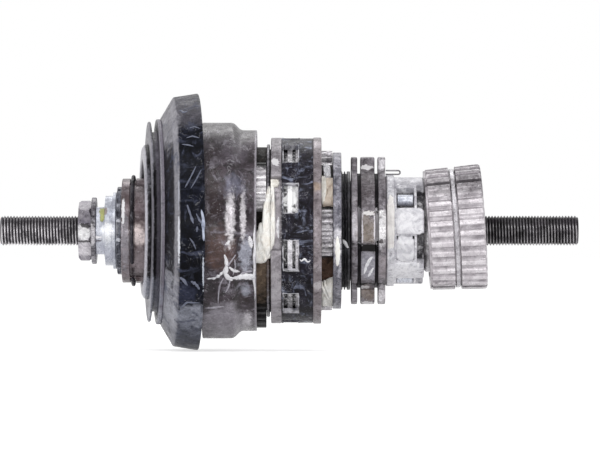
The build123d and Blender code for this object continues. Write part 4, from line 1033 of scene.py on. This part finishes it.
def driver():
    """One height field: smooth steps along the axle make lip, ring groove, sprocket seat, body and
    the pawls' flange, and steps in station and turn make the three slots."""
    x0, x1, flange_r = span("driver")
    lip_end, seat_from = x0 + 2.6, x0 + 4.4
    slot_end, body_from, flange_from = lip_end + 5.6, x0 + 17.5, x1 - 3.6
    seat_r, bore, soft, turn_soft, edge = 16.7, 12.4, 0.14, 0.7, 0.35
    lip_low, groove_low, body_low, slot_low = 0.1, 0.8, 0.7, 1.3
    xs = stations(x0, x1, 0.9, edge, (lip_end, seat_from, slot_end, body_from, flange_from), soft)

    def radius(x, a):
        """The seat's radius, lowered and raised part by part, then cut by the slots."""
        r = np.full(x.shape, seat_r)
        r -= lip_low * between(x, x0 - 1, lip_end, soft) + groove_low * between(x, lip_end, seat_from, soft)
        r -= body_low * between(x, body_from, flange_from, soft)
        r += (flange_r - seat_r) * between(x, flange_from, x1 + 1, soft)
        for centre in slot_centres:
            turned = (a - centre + 180) % 360 - 180
            slot = between(x, lip_end, slot_end, soft) * between(turned, -slot_half, slot_half, turn_soft)
            r = np.where(slot > 0, np.minimum(r, seat_r - slot_low * slot), r)
        return r - rim_drop(x, x0, x1, edge)

    angles = full_turn(sides(slot_centres, slot_half), turn_soft)
    stands_for(skin("driver_turned", xs, angles, bore, radius), "driver")


def sprocket_snap_ring():
    """Round wire bent to an open ring in the driver's groove; one end turns outwards below, by a
    power of the turn."""
    x0, x1, _ = span("sprocket_snap_ring")
    r, ring_r = (x1 - x0) / 2, 17.15
    bend_turn, bend_rise = 7, 1.5
    a = np.linspace(-36, 304, 260 // coarse)
    lift = np.clip((a - a[-1] + bend_turn) / bend_turn, 0, 1) ** 1.6 * bend_rise
    path = polar(np.full(len(a), (x0 + x1) / 2), ring_r + lift, a)
    stands_for(wire("snap_ring_wire", path, r), "sprocket_snap_ring")


# Loose ball cup
def cup_rim(x):
    """The rim's radius at a station of the cup's own axis."""
    return cup_corner_r + (x - cup_corner) * (cup_rim_r - cup_corner_r) / cup_rim_wide


def cup_unit():
    """Dust cap, seal and cup: three outlines turned about the cup's own leaning axis."""
    cap_r, cap_width, cap_bore = 24.6, 2.6, 19.9
    cap_end = cup_front + cap_width
    cap = [(cup_front, cap_bore), (cup_front, cap_r - 1.1), (cup_front + 0.9, cap_r), (cap_end, cap_r),
           (cap_end, cap_bore)]
    stands_for(lathe("cup_dust_cap_pressed", cap, edge=0.5, place=cup_place), "cup_dust_cap")
    seal = cup_seal_from
    lip, back, end = seal + 0.7, seal + 2.6, seal + 3.9
    lip_r, floor_r, back_r = 31.9, 28.6, 32.7
    moulded = [(seal, cap_r), (seal, lip_r), (lip, lip_r), (lip, floor_r), (back, floor_r), (back, back_r),
               (end, back_r), (end, cap_r)]
    stands_for(lathe("cup_seal_moulded", moulded, edge=0.3, place=cup_place), "cup_seal")
    rim_end, web_end = cup_corner + cup_rim_wide, end + 6.8
    cavity, race, slope_r = 37.9, 24.7, 38.1
    bowl = [(end, race), (end, back_r), (cup_corner - 0.9, slope_r), (cup_corner, cup_corner_r),
            (rim_end, cup_rim_r), (rim_end, cavity), (web_end, cavity), (web_end, race)]
    stands_for(lathe("ball_cup_turned", bowl, edge=0.5, place=cup_place), "ball_cup")


# Drum
notch_from, notch_to = -12, 35


def drum_front_ring():
    """A ring with one wide notch: between two turns its radius falls almost to the core."""
    x0, x1, _ = span("drum_front_ring")
    r, notch_left, soft, edge = 29.6, 0.04, 0.5, 0.35
    xs = stations(x0, x1, 0.8, edge)

    def radius(x, a):
        """The ring's radius less its notch."""
        notch = between(a, notch_from, notch_to, soft) * (r - drum_core_r - notch_left)
        return r - rim_drop(x, x0, x1, edge) - notch

    ring = skin("drum_front_notched", xs, full_turn((notch_from, notch_to), soft), drum_core_r, radius)
    stands_for(ring, "drum_front_ring")


def clutch_cage():
    """The black cage: ten windows right through to the race, each in a low frame, which is a smooth
    step along the axle times one in turn."""
    x0, x1, r = span("clutch_cage")
    start, end = x0 + window_from, x0 + window_from + window_width
    frame_wide, frame_turn, frame_high = 0.5, 1.2, 0.2
    soft, turn_soft, edge = 0.2, 0.5, 0.2
    centres = window_first + window_turn * np.arange(360 // window_turn)

    def turned(a):
        """Degrees from the middle of the nearest window."""
        return (a - window_first + window_turn / 2) % window_turn - window_turn / 2

    def radius(x, a):
        """The full radius in the frames, less outside them."""
        wide = window_half + frame_turn
        raised = between(x, start - frame_wide, end + frame_wide, soft)
        raised = raised * between(turned(a), -wide, wide, turn_soft)
        return r - frame_high * (1 - raised) - rim_drop(x, x0, x1, edge)

    def is_open(x, a):
        """True inside a window."""
        return (x > start) & (x < end) & (np.abs(turned(a)) < window_half)

    xs = stations(x0, x1, 0.8, edge, (end + frame_wide,), soft)
    xs = np.unique(np.append(xs, [start, end]).round(4))
    frame_edge = window_half + frame_turn
    reaches = window_half, frame_edge - turn_soft / 2, frame_edge + turn_soft / 2
    breaks = [np.array(sides(centres, reach)) for reach in reaches]
    even = np.arange(turn_steps) * 360 / turn_steps
    angles = np.unique((np.concatenate([even, *breaks]) % 360).round(4))
    piece = pierced("clutch_cage_moulded", xs, angles, drum_core_r + 0.02, radius, is_open)
    stands_for(piece, "clutch_cage")


def drum_end_ring():
    """A plain turned ring."""
    x0, x1, r = span("drum_end_ring")
    corners = [(x0, drum_core_r), (x0, r), (x1, r), (x1, drum_core_r)]
    stands_for(lathe("drum_end_turned", corners, edge=0.45), "drum_end_ring")


# Shell drive
def lug_outline(base, top, count, first, half, shoulder=1.4):
    """Raised lugs on a round base as (across, up) points, their corners rounded."""
    corners = []
    for k in range(count):
        c = first + 360 / count * k
        corners += [(base, c - half - shoulder)] + [(top, c + s) for s in np.linspace(-half, half, 7)]
        corners += [(base, c + half + shoulder)]
        gap = np.linspace(half + shoulder, 360 / count - half - shoulder, 15)[1:-1]
        corners += [(base, c + s) for s in gap]
    r, a = np.array(corners).T
    points = np.stack([r * np.cos(np.radians(a)), r * np.sin(np.radians(a))], 1)
    return rounded(points, 0.6, 3)


def lugged_rings():
    """Three flat rings with four lugs each: one outline, carried from face to face of every ring."""
    outline = lug_outline(base=19.6, top=23.5, count=4, first=3.4, half=13.0)
    bore, edge = 15.95, 0.4
    for node in ("lug_plate_front", "lug_cam_ring", "lug_plate_rear"):
        x0, x1, _ = span(node)
        stands_for(solid(node + "_sintered", plate(outline, bore, x0, x1, edge)), node)


# Coaster brake
pocket_centres = [40 + 60 * k for k in range(6)]
bar_centres = [70 + 60 * k for k in range(6)]


def roller_cage():
    """One carved skin: flange and body, six bars whose crown falls off with the fourth power of the
    turn, and six pockets let in by smooth steps along the axle and in turn."""
    x0, x1, _ = span("brake_roller_cage")
    flange_end, body_end = x0 + 2.5, x0 + 9.7
    pocket_from, pocket_end = flange_end + 0.8, flange_end + 6.2
    bore, floor, body_r, flange_r, bar_r = 13.2, 13.45, 16.6, 17.7, 17.4
    bar_half, pocket_half, crown_drop = 13, 14, 0.5
    soft, turn_soft, edge = 0.3, 1.0, 0.5

    def radius(x, a):
        """Flange and body, raised at the bars, then let down to the floor in the pockets."""
        r = np.where(x < flange_end, flange_r, body_r)
        r = r - between(x, body_end, x1 + 1, soft) * (body_r - floor)
        for centre in bar_centres:
            t = (a - centre + 180) % 360 - 180
            bar = between(t, -bar_half, bar_half, turn_soft) * between(x, flange_end, x1 + 1, soft)
            crown = bar_r - crown_drop * np.clip(t / bar_half, -1.1, 1.1) ** 4
            r = r + (np.where(x < flange_end, r, crown) - r) * bar
        for centre in pocket_centres:
            t = (a - centre + 180) % 360 - 180
            pocket = between(t, -pocket_half, pocket_half, turn_soft)
            pocket = pocket * between(x, pocket_from, pocket_end, soft)
            r = r + pocket * (floor - r)
        return r - rim_drop(x, x0, x1, edge)

    xs = stations(x0, x1, 0.5, edge, (flange_end, body_end, pocket_from, pocket_end), soft)
    angles = full_turn(sides(pocket_centres, pocket_half) + sides(bar_centres, bar_half), turn_soft)
    stands_for(skin("roller_cage_cast", xs, angles, bore, radius), "brake_roller_cage")


def friction_spring():
    """The hairpin tail: two straight runs joined by a half circle."""
    x0, x1, _ = span("friction_spring")
    low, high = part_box("friction_spring")
    r = (high.y - low.y) / 2 * metre
    bottom, top = low.z * metre + r, high.z * metre - r
    bend, foot = (top - bottom) / 2, 2
    t = np.radians(np.linspace(-90, 90, 15))
    curve = np.stack([x1 - r - bend + bend * np.cos(t), t * 0, (bottom + top) / 2 + bend * np.sin(t)], 1)
    ends = [[(x, 0, z) for x in (x0 + r, x0 + foot)] for z in (bottom, top)]
    path = np.concatenate([ends[0], curve, ends[1][::-1]])
    stands_for(wire("friction_spring_wire", path, r, 10), "friction_spring")


def brake_shoes():
    """Three tapered shoes. The outside of each is a height field over station and angle: taper,
    front lip, middle groove, and axial grooves that leave ribs with rounded crests."""
    width, front_r, back_r, bore, seam = shoe_width, shoe_front_r, shoe_back_r, 15.0, 48.0
    x0 = shoe_middle - width / 2
    x1 = x0 + width
    lip_end, groove_from, groove_end = x0 + 0.65, x0 + 7.9, x0 + 9.9
    rib_turn, groove_half, rib_deep, lip_low, groove_deep = 10, 2.2, 0.55, 0.35, 1.7
    groove_floor = front_r + (back_r - front_r) * (groove_from - x0) / width - groove_deep
    rib_count, ribs_back, crest_drop = 10, 3, 0.16
    shoe_gap, end_turn, end_drop = 0.35, 1.2, 0.3
    soft, rib_soft, edge = 0.2, 1.9, 0.9
    xs = stations(x0, x1, 0.6, edge, (lip_end, groove_from, groove_end), soft)
    for number in (1, 2, 3):
        centre = seam - 60 + 120 * (number - 1)
        trim = math.degrees(shoe_gap / back_r)
        grooves = [centre - ribs_back + (k - (rib_count - 1) / 2) * rib_turn for k in range(rib_count)]
        a0, a1 = centre - 60 + trim, centre + 60 - trim
        angles = lines(a0, a1, 1.0, sides(grooves, groove_half), rib_soft)
        x, a = np.meshgrid(xs, angles, indexing="ij")
        ring_groove = between(x, groove_from, groove_end, soft)
        r = front_r + (back_r - front_r) * (x - x0) / width
        r = r - lip_low * between(x, x0 - 1, lip_end, soft) - (r - groove_floor) * ring_groove
        ribbed = between(x, lip_end, x1 + 1, soft) * (1 - ring_groove)
        for groove in grooves:
            t = (a - groove) / rib_turn
            crest = np.where((t >= 0) & (t < 1), crest_drop * (2 * t - 1) ** 2, 0)
            dip = rib_deep * between(a, groove - groove_half, groove + groove_half, rib_soft)
            r = r - ribbed * np.maximum(crest, dip)
        ends = np.clip(np.minimum(a - a0, a1 - a) / end_turn, 0, 1)
        r = r - rim_drop(x, x0 - edge, x1, edge) - end_drop * (1 - ends) ** 2
        shell = np.concatenate([polar(x, r, a), polar(xs[::-1][:, None], bore, angles[None, :])])
        piece = solid(f"brake_shoe_{number}_ribbed", placed(shell, shoe_place), wrap_columns=False, cap=True)
        stands_for(piece, f"brake_shoe_{number}")


# Grease that stands proud of what it lies on
def housing_top(x):
    """The housing's outer radius at a station: full, then an S-shaped shoulder down to its mouth."""
    x0, _, wall_r = span("ring_gear_housing")
    shoulder_from, shoulder_long, mouth_r = x0 + 8.9, 4.3, 32.0
    t = np.linspace(0, 1, 33)
    along = shoulder_from + shoulder_long * (1.5 * t * (1 - t) + t**3)
    return np.interp(x, along, wall_r - (wall_r - mouth_r) * (3 * t**2 - 2 * t**3))


def notch_grease():
    """Two lumps and a stroke of grease in the notch of the drum's front ring."""
    ring = span("drum_front_ring")[0]
    grease("grease_notch", ring - 2.0, ring + 1.4, notch_from + 0.6, notch_to - 2.0, drum_core_r, 1.4,
           "drum", "bright", 3, slant=-0.1, ragged=0.1, wall=ring + 0.03, block=0.5, beyond=True)
    grease("grease_notch_top", ring - 1.0, ring + 2.7, 29.0, notch_to - 0.5, drum_core_r, 1.3,
           "drum", "cream", 4, ragged=0.15, wall=ring + 0.03, block=0.6, beyond=True)
    way = [(ring + 2.5, 4.4), (ring + 2.2, 1.0), (ring + 2.5, -2.4)]
    smear("grease_notch_side", way, drum_core_r, 0.5, 0.3, "drum", "white", 33)


def grease_lumps():
    """Domed lumps: name, from and to along the axle, from and to round it, radius under it, height,
    body, kind of grease, seed and what else shapes it."""
    plate_from, plate_end, _ = span("carrier_middle_plate")
    ring = span("drum_front_ring")[0]
    cage = span("brake_roller_cage")[0]
    rear = span("drum_end_ring")[1]
    flange_face = rear + 3.56
    lumps = [
        ("middle_plate", plate_from - 1.4, plate_end + 2.4, -15, 30, 27.0, 1.9, "carrier", "bright", 5,
         dict(slant=0.9, ragged=0.12, wall=ring - 0.03, block=0.5)),
        ("post_low", plate_from - 5.0, plate_end + 2.4, -22.5, 5, 26.2, 2.7, "carrier", "bright", 8,
         dict(slant=2.0, ragged=0.16, wall=ring - 0.03, block=0.55)),
        ("bar_front", cage + 2.7, cage + 11.8, -4, 25, 17.1, 0.7, "brake_cam", "white", 11,
         dict(ragged=0.04, block=0.36)),
        ("pocket_low", cage + 3.0, cage + 8.9, -36, -5, 16.3, 0.9, "brake_cam", "white", 14,
         dict(ragged=0.08, block=0.5)),
        ("cage_flange", cage + 0.1, cage + 2.5, -22, 40, 17.55, 0.6, "brake_cam", "clean", 17,
         dict(ragged=0.12, block=0.5)),
        ("high_cream", rear - 0.4, rear + 5.0, 19.5, 47, 22.3, 2.0, "carrier", "tan", 20,
         dict(slant=0.2, ragged=0.06, wall=flange_face, block=0.5)),
        ("high_edge", rear - 0.4, rear + 1.5, 21, 46, 24.15, 0.5, "carrier", "cream", 21,
         dict(slant=0.1, ragged=0.16)),
        ("high_top", rear + 0.4, rear + 3.0, 47, 68, 22.0, 1.6, "carrier", "white", 23,
         dict(slant=-0.2, ragged=0.2)),
        ("high_low", rear - 0.4, rear + 5.0, -86, -42, 22.4, 2.6, "carrier", "bright", 26,
         dict(slant=0.2, ragged=0.16, wall=flange_face, block=0.5)),
    ]
    for name, *measures, shape in lumps:
        grease("grease_" + name, *measures, **shape)


def housing_strokes():
    """The star of wiped grease on the low ring's housing and the rim of grease at its mouth."""
    strokes = [
        ("spike", [(46.8, -7.4), (47.4, -9.2), (47.6, -12.0)], 0.5, 0.35, "white"),
        ("branch", [(50.4, -7.6), (49.0, -9.4), (47.6, -11.2), (46.9, -13.4)], 0.3, 0.25, "dim"),
        ("heart", [(47.4, -8.8), (47.5, -11.2), (47.0, -13.4), (48.2, -15.0), (49.4, -15.6)],
         0.68, 0.4, "white"),
        ("join", [(48.0, -14.0), (49.4, -14.5), (50.8, -14.7), (52.4, -14.6)], 0.5, 0.35, "white"),
        ("web", [(50.0, -8.8), (50.3, -11.2), (49.4, -13.8)], 0.25, 0.2, "dim"),
        ("left", [(41.2, -15.0), (43.6, -14.9), (45.4, -13.9), (46.7, -12.2)], 0.42, 0.3, "white"),
        ("curl", [(48.2, -11.0), (49.8, -12.4), (51.6, -13.4)], 0.45, 0.3, "white"),
        ("down", [(46.6, -14.6), (45.3, -17.0), (44.9, -19.5), (44.7, -23.0)], 0.26, 0.2, "dim"),
        ("drip", [(48.6, -15.4), (48.0, -17.6), (47.1, -19.4)], 0.32, 0.2, "dim"),
        ("fleck", [(47.0, -4.4), (47.9, -3.9), (48.4, -3.0)], 0.45, 0.25, "white"),
        ("ledge", [(40.4, -24.3), (43.5, -24.1), (46.6, -23.7)], 0.42, 0.25, "dim"),
        ("band", [(50.2, -14.6), (51.6, -14.5), (53.9, -14.4), (55.4, -14.6), (56.5, -14.9)],
         1.0, 0.5, "white"),
        ("rise", [(51.8, -13.4), (53.6, -12.9), (55.6, -12.6)], 0.35, 0.25, "dim"),
        ("edge", [(56.3, 2.0), (56.0, -2.0), (56.4, -5.0), (56.0, -8.6), (56.3, -11.6), (55.8, -15.0),
                  (56.4, -18.6), (56.2, -22.0)],
         0.4, 0.3, "white"),
        ("blob", [(54.6, -1.6), (54.9, -3.4), (55.3, -5.4)], 0.6, 0.35, "white"),
    ]
    for number, (name, way, half, height, kind) in enumerate(strokes):
        smear("grease_" + name, way, housing_top, half, height, "low_ring", kind, 40 + number)


def cup_strokes():
    """Short wiped strokes of grease on the cup's rim, which lean and tilt with the cup."""
    strokes = [
        ("bright", [(36.6, 3.8), (37.2, 1.0), (37.2, -2.4), (37.4, -6.0)], 0.5, 0.25, "blue"),
        ("branch", [(35.0, 2.6), (36.0, 0.6), (36.9, -0.8)], 0.3, 0.2, "film"),
        ("beside", [(35.4, -1.4), (35.2, -3.2)], 0.4, 0.25, "film"),
        ("slanted", [(31.6, 10.6), (33.2, 13.4), (35.2, 17.2)], 0.26, 0.15, "film"),
        ("parallel", [(33.4, 10.4), (35.2, 13.2), (36.8, 16.2)], 0.22, 0.15, "film"),
        ("upper", [(32.4, 26.4), (34.4, 26.8), (36.6, 26.0)], 0.3, 0.2, "film"),
        ("arc", [(33.6, 29.6), (35.2, 29.8), (37.0, 29.0)], 0.24, 0.15, "film"),
        ("hooked", [(31.0, 24.4), (32.9, 24.0), (34.6, 23.4)], 0.24, 0.15, "film"),
        ("top", [(31.0, 35.4), (32.2, 34.4), (33.4, 34.6)], 0.4, 0.2, "film"),
        ("middle", [(32.2, 5.4), (33.2, 2.4), (34.2, -0.6)], 0.4, 0.2, "film"),
        ("fork", [(33.0, -5.0), (34.2, -6.6), (35.0, -8.6)], 0.26, 0.2, "film"),
        ("low", [(30.2, -17.4), (31.4, -18.2), (32.6, -19.8)], 0.5, 0.25, "film"),
        ("lowest", [(33.6, -18.6), (35.2, -19.4), (36.4, -21.0)], 0.5, 0.25, "film"),
        ("crest", [(30.6, -27.4), (32.6, -25.2), (36.6, -25.0)], 0.3, 0.2, "film"),
    ]
    for number, (name, way, half, height, kind) in enumerate(strokes):
        smear("grease_rim_" + name, way, cup_rim, half, height, "cup", kind, 80 + number, cup_place)


def other_strokes():
    """Strokes of grease on the lugged rings, the carrier's neck and flange and the clutch cage."""
    cage_r = span("clutch_cage")[2] - 0.2
    lug_r = span("lug_cam_ring")[2] - 0.03
    flange_r = span("carrier_end_flange")[2] - 0.03
    neck_r = 18.7
    strokes = [
        ("lug_first", [(90.6, -13.6), (91.2, -11.2), (92.4, -9.0), (93.2, -8.2)], lug_r, 0.5, 0.15,
         "shell_drive", "white", 100),
        ("lug_second", [(91.8, -14.6), (92.8, -12.8), (93.5, -11.6)], lug_r, 0.4, 0.15,
         "shell_drive", "white", 101),
        ("neck", [(83.9, -2.8), (84.6, -3.8), (85.4, -5.0), (86.1, -5.6)], neck_r, 0.6, 0.3,
         "carrier", "white", 120),
        ("flange", [(82.1, -1.6), (82.2, -5.0), (82.3, -8.0), (82.1, -11.2)], flange_r, 0.8, 0.25,
         "carrier", "bright", 121),
        ("zigzag", [(69.9, -8.4), (70.8, -9.6), (71.8, -8.7), (72.8, -9.9), (73.7, -9.3)], cage_r, 0.28, 0.15,
         "drum", "white", 60),
    ]
    for name, *measures in strokes:
        smear("grease_" + name, *measures)


# Stage
def either(tree, path, names):
    """1 where any of the named light path outputs is 1."""
    seen = path.outputs[names[0]]
    for name in names[1:]:
        node = tree.nodes.new("ShaderNodeMath")
        node.operation = "MAXIMUM"
        tree.links.new(seen, node.inputs[0])
        tree.links.new(path.outputs[name], node.inputs[1])
        seen = node.outputs[0]
    return seen


def studio():
    """Pale floor and a plain world: white where the camera, gloss or glass looks, softer as light."""
    low, size = cad_box[0][2], 4.0
    mesh = bpy.data.meshes.new("floor")
    corners = [(-size, -size, low), (size, -size, low), (size, size, low), (-size, size, low)]
    mesh.from_pydata(corners, [], [(0, 1, 2, 3)])
    floor = bpy.data.objects.new("floor", mesh)
    bpy.context.scene.collection.objects.link(floor)
    material = bpy.data.materials.new("floor_pale")
    material.use_nodes = True
    tree = material.node_tree
    shader = tree.nodes["Principled BSDF"]
    shader.inputs["Base Color"].default_value = (0.85, 0.85, 0.85, 1)
    shader.inputs["Roughness"].default_value = 1.0
    shader.inputs["Specular IOR Level"].default_value = 0.0
    shader.inputs["Emission Color"].default_value = (1, 1, 1, 1)
    path = tree.nodes.new("ShaderNodeLightPath")
    lift = tree.nodes.new("ShaderNodeMath")
    lift.operation = "MULTIPLY"
    tree.links.new(either(tree, path, ["Is Camera Ray", "Is Glossy Ray"]), lift.inputs[0])
    lift.inputs[1].default_value = 0.65
    tree.links.new(lift.outputs[0], shader.inputs["Emission Strength"])
    paint(floor, material)
    world = bpy.data.worlds.new("studio")
    bpy.context.scene.world = world
    world.use_nodes = True
    tree = world.node_tree
    shade = tree.nodes["Background"]
    path = tree.nodes.new("ShaderNodeLightPath")
    strength = tree.nodes.new("ShaderNodeMapRange")
    looked_at = either(tree, path, ["Is Camera Ray", "Is Glossy Ray", "Is Transmission Ray"])
    tree.links.new(looked_at, strength.inputs["Value"])
    strength.inputs["To Min"].default_value = 0.5
    strength.inputs["To Max"].default_value = 1.0
    tree.links.new(strength.outputs["Result"], shade.inputs["Strength"])
    shade.inputs["Color"].default_value = (1, 1, 1, 1)


def lamp(name, place, size, power):
    """A soft panel that faces the middle of the hub."""
    light = bpy.data.lights.new(name, "AREA")
    light.shape = "RECTANGLE"
    light.size, light.size_y = size
    light.energy = power
    holder = bpy.data.objects.new(name, light)
    holder.location = place
    holder.rotation_mode = "QUATERNION"
    aim = Vector((0.067, 0, 0)) - Vector(place)
    holder.rotation_quaternion = aim.to_track_quat("-Z", "Y")
    bpy.context.scene.collection.objects.link(holder)


def camera():
    """A long lens, level with the axle."""
    distance, frame_width, sensor = 1.5, 0.1913, 36.0
    data = bpy.data.cameras.new("camera")
    data.sensor_width = sensor
    data.sensor_fit = "HORIZONTAL"
    data.lens = sensor * distance / frame_width
    holder = bpy.data.objects.new("camera", data)
    holder.location = (0.0704, -distance, 0.0018)
    holder.rotation_euler = (math.pi / 2, 0, 0)
    bpy.context.scene.collection.objects.link(holder)
    bpy.context.scene.camera = holder


# Build every piece
axle()
drive_locknut()
lock_washer()
drive_cone()
cone_dust_cap()
driver()
sprocket_snap_ring()
cup_unit()
drum_front_ring()
clutch_cage()
drum_end_ring()
lugged_rings()
roller_cage()
friction_spring()
brake_shoes()
notch_grease()
grease_lumps()
housing_strokes()
cup_strokes()
other_strokes()
for node, width in (("ring_gear_housing", 0.25), ("clutch_ring_gear", 0.12), ("carrier_front_body", 0.3),
                    ("carrier_middle_plate", 0.2), ("carrier_hub_disc", 0.3), ("carrier_rear_body", 0.3),
                    ("carrier_end_flange", 0.25), ("lug_spacers", 0.15), ("brake_rollers", 0.2),
                    ("shoe_spring_ring", 0.15), ("brake_cone", 0.3)):
    softened(node, width)
for number in (1, 2, 3):
    softened(f"low_planet_{number}", 0.1)
for number in (1, 2, 3, 4):
    softened(f"high_planet_{number}", 0.14)

studio()
lamp("above", (-0.05, -0.6, 0.8), (0.8, 0.4), 2.6)
lamp("front", (0.07, -1.7, 0.03), (1.2, 0.2), 4.5)
lamp("left", (-0.85, -1.25, 0.3), (0.15, 0.6), 2.5)
lamp("right", (0.95, -1.25, 0.35), (0.15, 0.6), 3.5)
lamp("back", (0.2, 0.5, 0.6), (0.6, 0.3), 1.5)
camera()
bpy.context.scene.view_settings.view_transform = "Standard"
